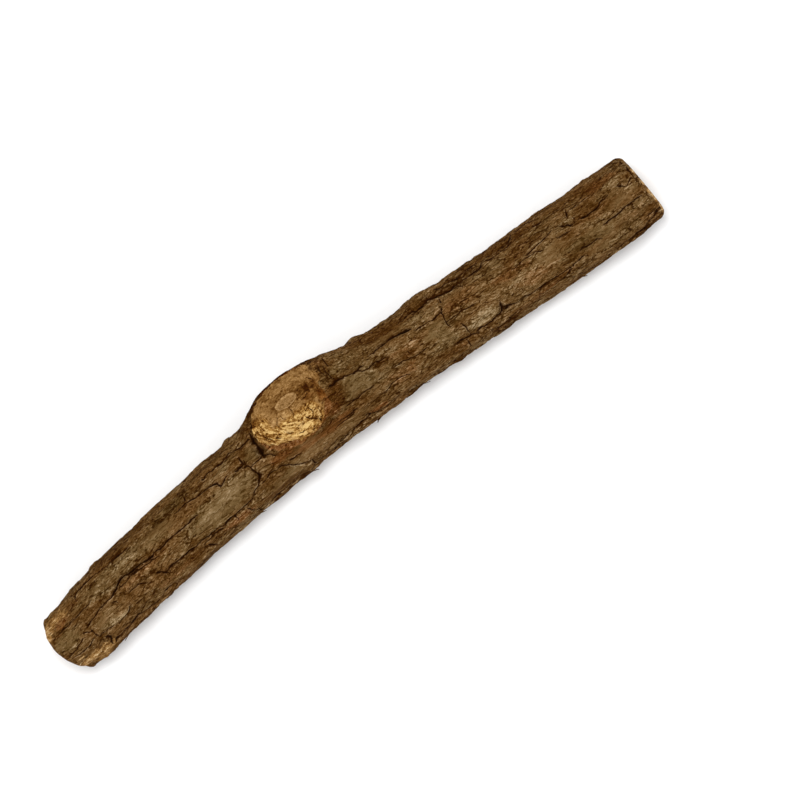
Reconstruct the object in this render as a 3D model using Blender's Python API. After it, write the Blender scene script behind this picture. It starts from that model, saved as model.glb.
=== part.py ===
"""A cut stick of silver vine: a gently bowed length of the vine with furrowed, flaking bark, one pruned
knot on its upper side, a slanting cut at one end and a sawn cut at the other. It grew as one piece, so it
is one solid. It lies along X on the surface z = 0, with its knot up and towards +Y.
"""

import math
import random

import bmesh
import bpy
import numpy as np
from mathutils import Vector, noise

# Sizes are in millimetres, and angles round the stick in degrees from straight up (+Z) towards +Y.
MM = 0.001
LENGTH = 120.0
RADIUS = 6.05

# Stations along the stick: how far its axis bows towards +Y, and how thick it is.
BOW = [
    (0.0, -2.95), (4.0, -2.75), (10.0, -1.98), (20.0, -0.82), (30.0, 0.08), (42.0, 0.86), (54.0, 1.28),
    (66.0, 1.08), (78.0, 0.55), (90.0, -0.15), (102.0, -0.82), (112.0, -1.45), (120.0, -1.62),
]
GIRTH = [
    (0.0, 5.35), (4.0, 5.60), (9.0, 5.85), (20.0, 5.95), (32.0, 5.95), (44.0, 6.15), (60.0, 6.05),
    (80.0, 6.10), (100.0, 6.15), (114.0, 6.15), (120.0, 6.05),
]

# Swellings of the bark that show in the outline: place, angle, half length, half width and height.
SWELLINGS = [
    (5.0, 75.0, 5.0, 25.0, 0.25), (14.5, 75.0, 4.0, 25.0, 0.35), (20.0, 78.0, 3.0, 22.0, 0.20),
    (36.5, 80.0, 2.5, 22.0, 0.35), (43.5, 78.0, 2.4, 24.0, 0.40), (68.4, 80.0, 2.0, 20.0, 0.45),
    (79.8, 80.0, 2.6, 26.0, 0.50), (93.0, 80.0, 2.0, 22.0, 0.20), (103.0, 78.0, 4.0, 24.0, 0.25),
    (50.3, -82.0, 1.2, 16.0, 0.20), (72.0, -80.0, 1.6, 16.0, 0.10),
]

# The underside is level, but for three dips round the weight, which are worn flat on the surface.
DIP_FIRST = 14.0
DIP_SPACING = 46.0
DIP_HEIGHT = 0.25
WORN_FLAT = 0.27

# The stub of a side branch, pruned off in two strokes: a weathered cut and a fresher, rougher one.
KNOT_PLACE = 53.0
KNOT_ANGLE = 45.0
KNOT_RISE = 3.5
KNOT_REACH_LEFT = 7.6
KNOT_REACH_RIGHT = 13.3
KNOT_SPREAD_UP = 52.0
KNOT_SPREAD_DOWN = 61.0
KNOT_SHOULDER = 4.5
OLD_CUT_ANGLE = 42.0
OLD_CUT_DISTANCE = 7.35
NEW_CUT_ANGLE = 0.0
NEW_CUT_DISTANCE = 7.1
NEW_CUT_ROUGHNESS = 0.22
CUT_CURVE_START = 54.0
CUT_CURVE_RISE = 0.045
CUT_RIDGE_BLEND = 0.7
CUT_EDGE_BLEND = 0.25
PITH_PLACE = (53.5, 4.9)
PITH_HALF = (2.0, 0.85)
PITH_DEPTH = 0.25

# The cut ends. The left one is rounded and slants away under the stick, and the right one is sawn.
LEFT_SLANT = 0.30
LEFT_TOP = 4.1
LEFT_BULGE = 0.045
LEFT_PEAK = 1.0
RIGHT_FACE = 120.05
RIGHT_SKEW = 0.03
RIGHT_BARK_END = 119.0
BARK_END_WIDTH = 0.22
BARK_END_DEPTH = 0.30
END_REACH = 9.0
EDGE_ROUND = 0.9
END_PITH_RADIUS = 0.9
END_PITH_DEPTH = 0.4

# Furrows seen from above: width, depth, how far the bark on the left of its run stands up, and its
# points as (place along the stick, distance across it from the axis towards +Y).
FURROWS = [
    (0.50, 0.45, 0.00, [(2.0, 2.2), (5.0, 2.45), (9.0, 2.3)]),
    (0.40, 0.35, 0.10, [(7.2, 4.2), (8.0, 5.0), (12.0, 4.9), (15.0, 4.7), (20.0, 4.4)]),
    (0.40, 0.35, 0.00, [(22.0, 5.0), (24.5, 5.25), (30.5, 5.0)]),
    (0.75, 0.80, 0.10, [(7.2, 0.0), (11.0, 0.3), (14.2, 0.8), (17.0, 1.0), (20.5, 0.75), (25.0, 0.5),
                        (31.5, 0.45)]),
    (0.30, 0.30, 0.00, [(10.5, -0.05), (12.2, -0.25), (12.8, -1.0)]),
    (0.30, 0.30, 0.00, [(14.5, -1.1), (17.2, -1.4), (18.4, -2.1)]),
    (0.45, 0.50, 0.00, [(20.3, -1.9), (21.6, -2.8), (22.4, -3.6)]),
    (0.60, 0.70, 0.20, [(22.0, -2.7), (26.0, -3.35), (31.0, -3.45), (36.0, -3.7), (40.0, -3.6), (41.6, -2.95),
                        (42.9, -2.0), (43.0, -1.2), (42.6, 0.2), (42.1, 1.1)]),
    (0.35, 0.40, 0.00, [(42.1, 3.4), (42.2, 1.6)]),
    (0.35, 0.40, 0.00, [(36.9, 1.0), (38.2, 1.8), (40.0, 1.5), (42.1, 1.6)]),
    (0.50, 0.50, 0.00, [(28.8, 3.1), (33.0, 2.8), (36.8, 2.3), (37.0, 1.2)]),
    (0.30, 0.30, 0.00, [(31.2, 4.3), (31.2, 3.1)]),
    (0.40, 0.40, 0.00, [(35.2, 4.3), (36.6, 4.5), (40.5, 4.4), (45.0, 4.4)]),
    (0.35, 0.40, 0.00, [(42.5, 0.55), (45.4, 0.7)]),
    (0.90, 1.30, 0.00, [(45.6, 4.4), (45.3, 3.2), (45.5, 1.6), (45.4, 0.9)]),
    (0.45, 0.60, 0.00, [(46.9, 5.8), (46.7, 5.0), (45.7, 4.3)]),
    (0.40, 0.40, 0.00, [(45.6, 0.6), (46.9, -0.2), (47.4, -0.9)]),
    (0.35, 0.45, -0.20, [(43.2, -2.4), (46.8, -2.6), (48.6, -3.6), (50.8, -4.6), (51.3, -5.6)]),
    (0.40, 0.40, 0.00, [(38.2, -4.1), (38.8, -5.0), (39.8, -5.9)]),
    (0.30, 0.30, 0.00, [(36.0, -3.8), (36.0, -4.8)]),
    (0.40, 0.40, 0.00, [(28.6, -4.1), (30.2, -4.8), (31.2, -5.3)]),
    (0.45, 0.45, 0.20, [(6.9, -2.0), (7.0, -2.9), (9.5, -3.2), (13.5, -3.35), (13.9, -2.6)]),
    (0.50, 0.40, 0.00, [(8.2, -3.2), (8.6, -4.0), (8.2, -4.6), (10.0, -4.9)]),
    (0.45, 0.45, 0.00, [(9.0, -5.1), (13.0, -5.15), (16.6, -5.5), (19.5, -5.2), (22.5, -5.2)]),
    (0.30, 0.25, 0.00, [(0.9, -1.7), (3.0, -1.45), (5.2, -1.1)]),
    (0.30, 0.25, 0.00, [(48.2, -2.7), (50.5, -3.3)]),
    (0.50, 0.50, 0.00, [(60.1, 2.7), (63.0, 2.55), (65.5, 2.2), (67.2, 1.9)]),
    (0.55, 0.50, 0.10, [(68.0, 2.9), (71.5, 3.15), (74.0, 2.9), (76.4, 2.4)]),
    (0.65, 0.75, 0.00, [(75.0, 4.5), (78.0, 4.8), (82.0, 5.05), (86.0, 4.75), (91.6, 5.1)]),
    (0.40, 0.45, 0.00, [(83.0, 5.6), (87.0, 5.6), (91.2, 5.65)]),
    (0.25, 0.20, -0.25, [(82.7, 4.1), (82.5, 2.8), (81.6, 1.6), (81.3, 0.2), (81.5, -1.0)]),
    (0.30, 0.35, 0.00, [(83.0, -1.3), (83.4, -2.8), (83.3, -4.0)]),
    (0.50, 0.55, 0.15, [(80.2, -4.0), (84.5, -4.1), (87.6, -4.35), (89.3, -3.5), (90.0, -2.6), (89.9, -1.5)]),
    (0.30, 0.30, 0.00, [(82.4, -4.1), (82.0, -5.0), (82.1, -5.8)]),
    (0.40, 0.40, 0.00, [(57.3, -3.2), (60.0, -3.3), (62.2, -2.9)]),
    (0.30, 0.25, 0.00, [(60.8, -1.75), (63.5, -1.65), (66.0, -1.8)]),
    (0.30, 0.30, 0.00, [(66.8, -3.6), (69.5, -2.95), (71.6, -3.3)]),
    (0.50, 0.50, 0.15, [(62.3, -4.6), (65.5, -5.6), (71.5, -5.6)]),
    (0.40, 0.45, 0.10, [(86.2, -5.2), (87.0, -5.7), (91.0, -5.7)]),
    (0.55, 0.60, 0.10, [(90.2, -3.5), (94.6, -3.7), (98.0, -3.75), (101.5, -3.75), (105.0, -3.8)]),
    (0.40, 0.45, 0.00, [(90.0, -5.1), (96.0, -5.2), (101.0, -4.85), (103.2, -4.1)]),
    (0.45, 0.50, 0.00, [(92.8, 5.3), (96.3, 5.4), (97.6, 5.8)]),
    (0.35, 0.35, 0.00, [(100.2, 5.15), (103.2, 4.7)]),
    (0.40, 0.40, 0.10, [(97.2, 1.6), (100.5, 2.05), (103.6, 2.6), (106.8, 2.35)]),
    (0.30, 0.30, 0.00, [(106.5, 2.9), (107.0, 3.9)]),
    (0.30, 0.30, 0.00, [(94.5, 1.1), (97.2, 1.35), (99.8, 1.2), (100.6, 0.7)]),
    (0.30, 0.30, 0.00, [(103.2, 1.2), (104.2, 0.8), (107.0, 0.75)]),
    (0.50, 0.50, 0.00, [(105.9, 1.6), (109.0, 1.4), (111.6, 1.6)]),
    (0.40, 0.40, 0.00, [(112.2, 2.2), (116.4, 2.3), (117.6, 1.6), (119.2, 1.9)]),
    (0.45, 0.45, 0.10, [(110.2, -1.5), (113.4, -1.35), (115.2, -0.9), (118.9, -1.15)]),
    (0.35, 0.35, 0.00, [(105.4, -2.6), (108.0, -2.85), (110.8, -2.9)]),
    (0.40, 0.40, 0.00, [(112.5, -5.6), (117.0, -5.45), (118.6, -5.0)]),
]

# More furrows on the hidden side, laid by a rule: how many, the angles between which they start, the
# range of their lengths, and the length of one step along them.
HIDDEN_COUNT = 46
HIDDEN_ANGLES = (78.0, 286.0)
HIDDEN_LENGTHS = (6.0, 24.0)
HIDDEN_STEP = 3.0
HIDDEN_SEED = 12

# Patches where the bark has come away: centre as a furrow's point, half length, half width and depth.
PEELS = [
    (4.4, -4.35, 4.6, 1.35, 0.40),
    (1.9, 3.9, 3.4, 1.5, 0.25),
    (68.4, 0.7, 2.1, 0.5, 0.22),
]

# The bark's own unevenness: long ribs, and plates about this long and wide with cracks between them.
RIBS = [(18.0, 2.6, 0.34), (8.0, 1.3, 0.14)]
PLATE_LENGTH = 9.0
PLATE_WIDTH = 2.5
PLATE_STEP = 0.16
PLATE_CRACK = 0.22
PLATE_CRACK_SHARE = 0.16
RAGGED = 0.30

# The net of the mesh: columns round the stick, rows along it, which are closer together near the ends,
# rings in each cut end, and how many triangles it is thinned to, which leaves most of them in the furrows.
COLUMNS = 132
ROWS = 286
END_ROWS = 15
END_ROWS_REACH = 3.0
END_RINGS = [0.0, 0.06, 0.10, 0.14, 0.18, 0.45, 0.75, 0.88, 0.94]
TRIANGLES = 11000


def through(stations, at):
    """The value at a place of the smooth curve through a list of (place, value) stations."""
    place, value = np.array(stations).T
    slope = np.gradient(value, place)
    i = np.clip(np.searchsorted(place, at) - 1, 0, len(place) - 2)
    gap = place[i + 1] - place[i]
    t = np.clip((at - place[i]) / gap, 0.0, 1.0)
    ends = value[i] * (1 + 2 * t) * (1 - t) ** 2 + value[i + 1] * t * t * (3 - 2 * t)
    return ends + gap * (slope[i] * t * (1 - t) ** 2 - slope[i + 1] * t * t * (1 - t))


def smooth_step(low, high, value):
    """0 below low and 1 above high, with a smooth rise between."""
    t = np.clip((value - low) / (high - low), 0.0, 1.0)
    return t * t * (3 - 2 * t)


def noise_over(along, angle, length, width, offset):
    """Noise from -1 to 1 over the unbent stick, drawn out to a grain of that length and width."""
    side, up = RADIUS * np.sin(angle), RADIUS * np.cos(angle)
    points = zip((along / length).flat, (side / width).flat, (up / width).flat)
    values = [noise.noise(Vector((x + offset, y, z))) for x, y, z in points]
    return np.array(values).reshape(along.shape)


def bark_plates(along, angle):
    """Height of the bark's plates: each stands a little higher or lower, with a crack round it."""
    side, up = RADIUS * np.sin(angle), RADIUS * np.cos(angle)
    heights = []
    for x, y, z in zip(along.flat, side.flat, up.flat):
        near, cells = noise.voronoi(Vector((x / PLATE_LENGTH, y / PLATE_WIDTH, z / PLATE_WIDTH)))
        crack = max(0.0, 1.0 - (near[1] - near[0]) / PLATE_CRACK_SHARE)
        heights.append(PLATE_STEP * noise.noise(7.3 * cells[0]) - PLATE_CRACK * crack)
    return np.array(heights).reshape(along.shape)


def angle_of(across):
    """The angle round the stick, in radians, of a point seen from above at that distance across."""
    return math.asin(max(-1.0, min(1.0, across / RADIUS)))


def hidden_furrows():
    """Furrows on the side that is turned to the surface, as (width, depth, lift, points round it)."""
    draw = random.Random(HIDDEN_SEED)
    furrows = []
    for _ in range(HIDDEN_COUNT):
        place = draw.uniform(2.0, LENGTH - 8.0)
        angle = draw.uniform(*HIDDEN_ANGLES)
        points = [(place, math.radians(angle))]
        for _ in range(round(draw.uniform(*HIDDEN_LENGTHS) / HIDDEN_STEP)):
            place += HIDDEN_STEP
            angle += draw.uniform(-7.0, 7.0)
            points.append((place, math.radians(angle)))
        width = draw.uniform(0.35, 0.60)
        furrows.append((width, 0.9 * width, draw.choice([0.0, 0.0, 0.12, -0.15]), points))
    return furrows


def nearest_on_run(along, arc, run):
    """Distance to a run of points, the side of it, and how far along it, from 0 to its length."""
    distance = np.full(along.shape, 1e9)
    side = np.zeros(along.shape)
    reach = np.zeros(along.shape)
    passed = 0.0
    for (x0, a0), (x1, a1) in zip(run, run[1:]):
        length = math.hypot(x1 - x0, a1 - a0)
        dx, da = (x1 - x0) / length, (a1 - a0) / length
        t = np.clip((along - x0) * dx + (arc - a0) * da, 0.0, length)
        here = np.hypot(along - x0 - t * dx, arc - a0 - t * da)
        closer = here < distance
        distance = np.where(closer, here, distance)
        side = np.where(closer, np.sign(dx * (arc - a0) - da * (along - x0)), side)
        reach = np.where(closer, passed + t, reach)
        passed += length
    return distance, side, reach, passed


def furrow_relief(along, angle):
    """How much the furrows lower the bark, and how much their lifted edges raise it."""
    warp = RAGGED * noise_over(along, angle, 1.6, 1.2, 40.0)
    relief = np.zeros(along.shape)
    seen = [(w, d, lift, [(x, angle_of(q)) for x, q in points]) for w, d, lift, points in FURROWS]
    for width, depth, lift, points in seen + hidden_furrows():
        run = [(x, RADIUS * a) for x, a in points]
        middle = np.mean([a for _, a in run])
        arc = RADIUS * (angle - 2 * math.pi * np.round((angle - middle / RADIUS) / (2 * math.pi)))
        distance, side, reach, length = nearest_on_run(along, arc + warp, run)
        fade = smooth_step(0.0, 1.2, reach + 0.3) * smooth_step(0.0, 1.2, length - reach + 0.3)
        relief -= depth * fade * np.maximum(0.0, 1.0 - distance / width) ** 0.8
        on_lifted = side * np.sign(lift) > 0
        relief += abs(lift) * fade * on_lifted * np.exp(-distance / 1.6) * smooth_step(0.0, width, distance)
    return relief


def peel_relief(along, angle):
    """How much the surface drops where the bark has come away."""
    relief = np.zeros(along.shape)
    ragged = 0.35 * noise_over(along, angle, 1.5, 0.9, 90.0)
    for place, across, half_length, half_width, depth in PEELS:
        arc = RADIUS * (angle - angle_of(across))
        arc = arc - 2 * math.pi * RADIUS * np.round(arc / (2 * math.pi * RADIUS))
        edge = np.hypot((along - place) / half_length, arc / half_width) + ragged
        relief -= depth * smooth_step(1.08, 0.92, edge)
    return relief


def smaller(a, b, blend):
    """The smaller of two surfaces, with the edge where they cross rounded off by the blend."""
    gap = np.maximum(blend - np.abs(a - b), 0.0) / blend
    return np.minimum(a, b) - gap * gap * blend / 4


def cut_plane(angle, towards, distance):
    """Radius at an angle round the stick of a flat cut that faces towards an angle."""
    return distance / np.maximum(np.cos(angle - math.radians(towards)), 0.2)


def knotted(along, angle, bark):
    """Radius with the knot: the bark swells up round the stub, and two cuts take the stub's top off."""
    offset = along - KNOT_PLACE
    turn = np.degrees(angle) - KNOT_ANGLE
    turn = turn - 360.0 * np.round(turn / 360.0)
    reach = offset / np.where(offset < 0, KNOT_REACH_LEFT, KNOT_REACH_RIGHT)
    spread = turn / np.where(turn < 0, KNOT_SPREAD_DOWN, KNOT_SPREAD_UP)
    grown = bark + KNOT_RISE * np.exp(-(np.hypot(reach, spread) ** KNOT_SHOULDER))
    curve = CUT_CURVE_RISE * np.maximum(along - CUT_CURVE_START, 0.0) ** 2
    old_cut = cut_plane(angle, OLD_CUT_ANGLE, OLD_CUT_DISTANCE) + curve
    new_cut = cut_plane(angle, NEW_CUT_ANGLE, NEW_CUT_DISTANCE) + curve
    new_cut = new_cut + NEW_CUT_ROUGHNESS * noise_over(along, angle, 1.7, 1.0, 60.0)
    face = smaller(old_cut, new_cut, CUT_RIDGE_BLEND)
    across = 1.2 * RADIUS * np.sin(angle)
    ring = np.hypot((along - PITH_PLACE[0]) / PITH_HALF[0], (across - PITH_PLACE[1]) / PITH_HALF[1])
    face = face - PITH_DEPTH * smooth_step(1.05, 0.8, ring) * (np.cos(angle) > 0)
    return smaller(grown, face, CUT_EDGE_BLEND)


def radius_over(along, angle):
    """Radius of the stick, from its axis to the top of its bark or cut, over all of its side."""
    radius = through(GIRTH, along)
    for number, (length, width, height) in enumerate(RIBS):
        radius = radius + height * noise_over(along, angle, length, width, 10.0 * number)
    for place, towards, half_length, half_width, height in SWELLINGS:
        turn = np.degrees(angle) - towards
        turn = turn - 360.0 * np.round(turn / 360.0)
        radius = radius + height * np.exp(-(((along - place) / half_length) ** 2) - (turn / half_width) ** 2)
    radius = radius + bark_plates(along, angle)
    radius = knotted(along, angle, radius) + furrow_relief(along, angle) + peel_relief(along, angle)
    radius = radius - BARK_END_DEPTH * np.exp(-(((along - RIGHT_BARK_END) / BARK_END_WIDTH) ** 2))
    to_end = np.minimum(along, LENGTH - along)
    inwards = np.clip(1.0 - to_end / EDGE_ROUND, 0.0, 1.0)
    return radius - EDGE_ROUND * (1.0 - np.sqrt(1.0 - 0.9 * inwards**2))


def shape_points(along, angle, share):
    """Points of the stick, in millimetres: share is 1 on its side and falls to 0 at the middle of an end."""
    radius = radius_over(along, angle) * share
    across, up = radius * np.sin(angle), radius * np.cos(angle)
    left_face = LEFT_SLANT * (LEFT_TOP - up) + LEFT_BULGE * (across - LEFT_PEAK) ** 2
    right_face = RIGHT_FACE - RIGHT_SKEW * across
    pith = END_PITH_DEPTH * smooth_step(END_PITH_RADIUS, 0.6 * END_PITH_RADIUS, radius)
    left_fit = smooth_step(END_REACH, 0.0, along)
    right_fit = smooth_step(LENGTH - END_REACH, LENGTH, along)
    x = along + left_fit * left_face + right_fit * (right_face - LENGTH)
    x = x + np.where(share < 1.0, np.where(along < LENGTH / 2, pith, -pith), 0.0)
    dip = DIP_HEIGHT * (0.5 - 0.5 * np.cos(2 * math.pi * (along - DIP_FIRST) / DIP_SPACING))
    level = through(GIRTH, along) - RADIUS
    return np.stack([x - LENGTH / 2, across + through(BOW, along), up + dip + level], axis=-1)


def stick_mesh():
    """A sphere's net drawn out into the stick: its first and last rings lie in the cut ends."""
    inner = np.array(END_RINGS[1:])
    first = np.linspace(0.0, END_ROWS_REACH, END_ROWS, endpoint=False)
    rows = np.linspace(END_ROWS_REACH, LENGTH - END_ROWS_REACH, ROWS)
    rows = np.concatenate([first, rows, LENGTH - first[::-1]])
    along = np.concatenate([np.zeros(len(inner)), rows, np.full(len(inner), LENGTH)])
    share = np.concatenate([inner, np.ones(len(rows)), inner[::-1]])
    column = np.arange(COLUMNS) * 2 * math.pi / COLUMNS
    ring_along, ring_angle = np.meshgrid(along, column, indexing="ij")
    points = shape_points(ring_along, ring_angle, share[:, None])
    poles = shape_points(np.array([0.0, LENGTH]), np.zeros(2), np.array([0.0, 0.0]))

    mesh = bmesh.new()
    rings = len(along) + 1
    bmesh.ops.create_uvsphere(mesh, u_segments=COLUMNS, v_segments=rings, radius=1.0)
    for vert in mesh.verts:
        ring = round(math.acos(max(-1.0, min(1.0, -vert.co.z))) / math.pi * rings)
        place = round(math.atan2(vert.co.y, vert.co.x) / (2 * math.pi) * COLUMNS) % COLUMNS
        if ring in (0, rings):
            vert.co = Vector(poles[0 if ring == 0 else 1]) * MM
        else:
            vert.co = Vector(points[ring - 1, place]) * MM
    bmesh.ops.recalc_face_normals(mesh, faces=mesh.faces)
    data = bpy.data.meshes.new("silver_vine_stick")
    mesh.to_mesh(data)
    mesh.free()
    return data


def set_down(data):
    """Moves the mesh so that it lies on z = 0, sunk by its worn flat, centred over the origin."""
    points = np.empty(len(data.vertices) * 3, np.float32)
    data.vertices.foreach_get("co", points)
    points = points.reshape(-1, 3)
    middle = (points.max(axis=0) + points.min(axis=0)) / 2
    points[:, :2] -= middle[:2]
    points[:, 2] -= points[:, 2].min() + WORN_FLAT * MM
    data.vertices.foreach_set("co", points.ravel())
    data.update()


def bark_material():
    """Dull brown bark."""
    material = bpy.data.materials.new("bark")
    material.use_nodes = True
    shader = material.node_tree.nodes["Principled BSDF"]
    shader.inputs["Base Color"].default_value = (0.155, 0.090, 0.035, 1.0)
    shader.inputs["Roughness"].default_value = 0.85
    shader.inputs["Metallic"].default_value = 0.0
    return material


def surface_cutter(collection):
    """A block below z = 0, which wears the low points of the stick flat."""
    bpy.ops.mesh.primitive_cube_add(size=1.0, location=(0.0, 0.0, -2.5 * MM))
    cutter = bpy.context.object
    cutter.name = "surface_cutter"
    cutter.scale = (1.4 * LENGTH * MM, 0.4 * LENGTH * MM, 5.0 * MM)
    cutter.hide_render = True
    cutter.display_type = "WIRE"
    for other in cutter.users_collection:
        other.objects.unlink(cutter)
    collection.objects.link(cutter)
    return cutter


def main():
    for old in list(bpy.data.objects):
        bpy.data.objects.remove(old)
    parts = bpy.data.collections.new("silver_vine_stick")
    cutters = bpy.data.collections.new("cutters")
    for collection in (parts, cutters):
        bpy.context.scene.collection.children.link(collection)

    data = stick_mesh()
    set_down(data)
    data.materials.append(bark_material())
    stick = bpy.data.objects.new("silver_vine_stick", data)
    parts.objects.link(stick)

    thin = stick.modifiers.new("thin", "DECIMATE")
    thin.ratio = TRIANGLES / (2 * len(data.polygons))
    thin.use_collapse_triangulate = True
    rest = stick.modifiers.new("worn_flat", "BOOLEAN")
    rest.operation = "DIFFERENCE"
    rest.object = surface_cutter(cutters)


main()
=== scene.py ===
import math
import random

import bpy
import numpy as np
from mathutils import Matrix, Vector, noise
from mathutils.bvhtree import BVHTree


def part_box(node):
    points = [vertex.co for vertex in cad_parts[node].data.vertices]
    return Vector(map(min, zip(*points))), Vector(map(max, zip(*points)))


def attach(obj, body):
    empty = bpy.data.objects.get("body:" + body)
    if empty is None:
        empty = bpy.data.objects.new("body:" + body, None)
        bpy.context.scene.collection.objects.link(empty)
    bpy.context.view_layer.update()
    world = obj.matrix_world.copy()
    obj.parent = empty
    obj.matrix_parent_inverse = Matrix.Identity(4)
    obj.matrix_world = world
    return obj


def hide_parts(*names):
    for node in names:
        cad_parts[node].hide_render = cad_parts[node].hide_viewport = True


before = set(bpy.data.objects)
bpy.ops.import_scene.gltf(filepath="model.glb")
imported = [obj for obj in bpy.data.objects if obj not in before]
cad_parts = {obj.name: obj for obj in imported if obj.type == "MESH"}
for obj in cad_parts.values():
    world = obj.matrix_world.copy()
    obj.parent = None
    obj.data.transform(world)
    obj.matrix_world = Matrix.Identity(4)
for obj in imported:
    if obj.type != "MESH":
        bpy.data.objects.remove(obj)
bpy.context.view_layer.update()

# The stick: one cut length of silver vine, wood with its bark grown on, in one piece. Its sizes, its bow,
# its knot and its furrows are those of the solid, and the finer relief of the bark, the torn wood of the
# knot and the grain of the cut ends are added to them. Lengths are in millimetres, angles in degrees.
MM = 0.001
LENGTH = 120.0
RADIUS = 6.05

# Stations along the stick: how far its axis bows towards +Y, and how thick it is.
BOW = [
    (0, -2.95), (4, -2.75), (10, -1.98), (20, -0.82), (30, 0.08), (42, 0.86), (54, 1.28), (66, 1.08),
    (78, 0.55), (90, -0.15), (102, -0.82), (112, -1.45), (120, -1.62),
]
GIRTH = [
    (0, 5.35), (4, 5.6), (9, 5.85), (20, 5.95), (32, 5.95), (44, 6.15), (60, 6.05), (80, 6.1), (100, 6.15),
    (114, 6.15), (120, 6.05),
]

# Broad ribs along the bark: length, width and height. TRIM is what the finer layers add to the radius.
RIBS = [(18, 2.6, 0.34), (8, 1.3, 0.14)]
TRIM = 0.04

# Swellings of the bark that show in the outline: place, angle, half length, half width and height.
SWELLINGS = [
    (5, 75, 5, 25, 0.15), (14.5, 75, 4, 25, 0.25), (20, 78, 3, 22, 0.2), (36.5, 80, 2.5, 22, 0.3),
    (43.5, 78, 2.4, 24, 0.4), (68.4, 80, 2, 20, 0.35), (79.8, 80, 2.6, 26, 0.45), (91.6, 80, 2, 22, -0.14),
    (103, 78, 4, 24, 0.2), (86, 80, 3, 22, -0.32), (111.5, 80, 2, 22, 0.2), (50.3, -82, 1.2, 16, 0.15),
    (60.5, -82, 3.5, 20, 0.28), (72, -80, 1.6, 16, 0.1), (7.6, -84, 3, 20, 0.42), (95.5, -82, 3, 20, -0.22),
    (37, -82, 2.5, 20, -0.15), (16, -82, 2, 20, -0.15), (47.4, 78, 2, 26, -0.18), (61.8, 78, 2.6, 26, -0.2),
    (67, -82, 2, 20, 0.18), (1, -76, 1.5, 28, -0.12),
]

# The underside is level, but for three dips round the weight, which are worn flat on the surface.
DIP_FIRST = 14.0
DIP_SPACING = 46.0
DIP_HEIGHT = 0.25

# The stub of the pruned side branch, its two cuts and its pith.
KNOT_PLACE = 53.0
KNOT_ANGLE = 45.0
KNOT_RISE = 3.5
KNOT_REACH_LEFT = 7.6
KNOT_REACH_RIGHT = 13.3
KNOT_SPREAD_UP = 52.0
KNOT_SPREAD_DOWN = 61.0
KNOT_SHOULDER = 4.5
OLD_CUT_ANGLE = 42.0
OLD_CUT_DISTANCE = 7.35
OLD_CUT_STRETCH = 1.35
NEW_CUT_ANGLE = 0.0
NEW_CUT_DISTANCE = 7.1
NEW_CUT_ROUGHNESS = 0.22
CUT_CURVE_START = 54.0
CUT_CURVE_RISE = 0.045
CUT_RIDGE_BLEND = 0.7
CUT_EDGE_BLEND = 0.12
CUT_RIDGE = 2.8
CUT_FACING = 22.0
PITH_PLACE = (53.45, 4.85)
PITH_HALF = (1.95, 0.85)

# The edge of the bare wood of the knot, as points (place along the stick, distance across it).
WOOD_EDGE = [
    (46.1, 3.7), (46.3, 4.5), (46.65, 5.2), (47, 5.75), (47.5, 6.3), (48.2, 6.9), (49, 7.4), (50, 7.85),
    (51, 8.15), (52.4, 8.4), (54, 8.6), (56, 8.4), (58, 8.1), (59.4, 7.7), (60.4, 7.1), (60.2, 6.2),
    (60.4, 5), (60, 3.5), (59.4, 2.3), (58.5, 1.2), (57.7, 0.2), (57, -0.6), (56.2, -1.2), (54.6, -1.6),
    (53.2, -1.7), (52, -1.4), (51, -0.8), (49.6, -0.1), (48.4, 0.3), (47.3, 1), (46.6, 2), (46.2, 3),
]

# Patches of another tone on the wood of the knot: place, distance across, half length, half width, how
# much lighter they are and how much redder. Besides the wood's own patches they hold painted light: the
# lower wood, which faces up, is lighter and the upper wood, which slants away, darker.
WOOD_TONES = [
    (47.4, 3.4, 1, 1.2, 0.04, 0.2), (46.9, 5.2, 1.3, 0.8, -0.22, 0.1), (49, 5.4, 1.4, 0.8, 0.05, 0),
    (50.9, 7.6, 2.2, 0.6, -0.06, 0.1), (53.2, 8.2, 3, 0.5, -0.06, 0), (52.6, 6.2, 2.6, 0.4, -0.1, 0),
    (56.2, 5.9, 2, 0.5, -0.09, 0), (58.4, 6.9, 1.6, 0.9, 0.03, 0.1), (50.8, 5.1, 0.9, 0.5, -0.1, 0),
    (56.6, 4.9, 1.2, 0.8, -0.18, 0.1), (57.6, 4.6, 0.7, 0.9, -0.3, 0.4), (56.8, 3.4, 1.2, 0.8, -0.16, 0.5),
    (58.6, 3.8, 0.6, 1.6, -0.22, 0.3), (59.4, 4.6, 1, 0.9, -0.06, 0.3), (60.6, 4.2, 0.8, 2.2, -0.24, 0.4),
    (58.8, 2.2, 1.1, 1.2, -0.12, 0.7), (51.4, 3, 1.8, 0.9, 0.12, -0.3), (49.4, 3.6, 1.6, 1.4, 0.1, 0),
    (48.4, 2.4, 1, 1.2, 0.16, 0), (51.7, 1.3, 2, 0.9, 0.36, -0.1), (52.8, 1, 1, 0.5, 0.14, 0),
    (49.8, 1, 1.1, 0.6, 0.18, 0), (53, -0.4, 2, 0.9, 0.34, 0), (54.8, 1.2, 1.1, 1, 0.14, 0.2),
    (56.6, 1.6, 0.9, 0.6, 0.14, 0.2), (56.7, 0, 0.6, 0.8, 0.18, 0.2), (55.5, 0.1, 0.5, 0.7, -0.16, 0.2),
    (50.9, 0.2, 1, 0.5, 0.16, 0),
]

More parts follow.
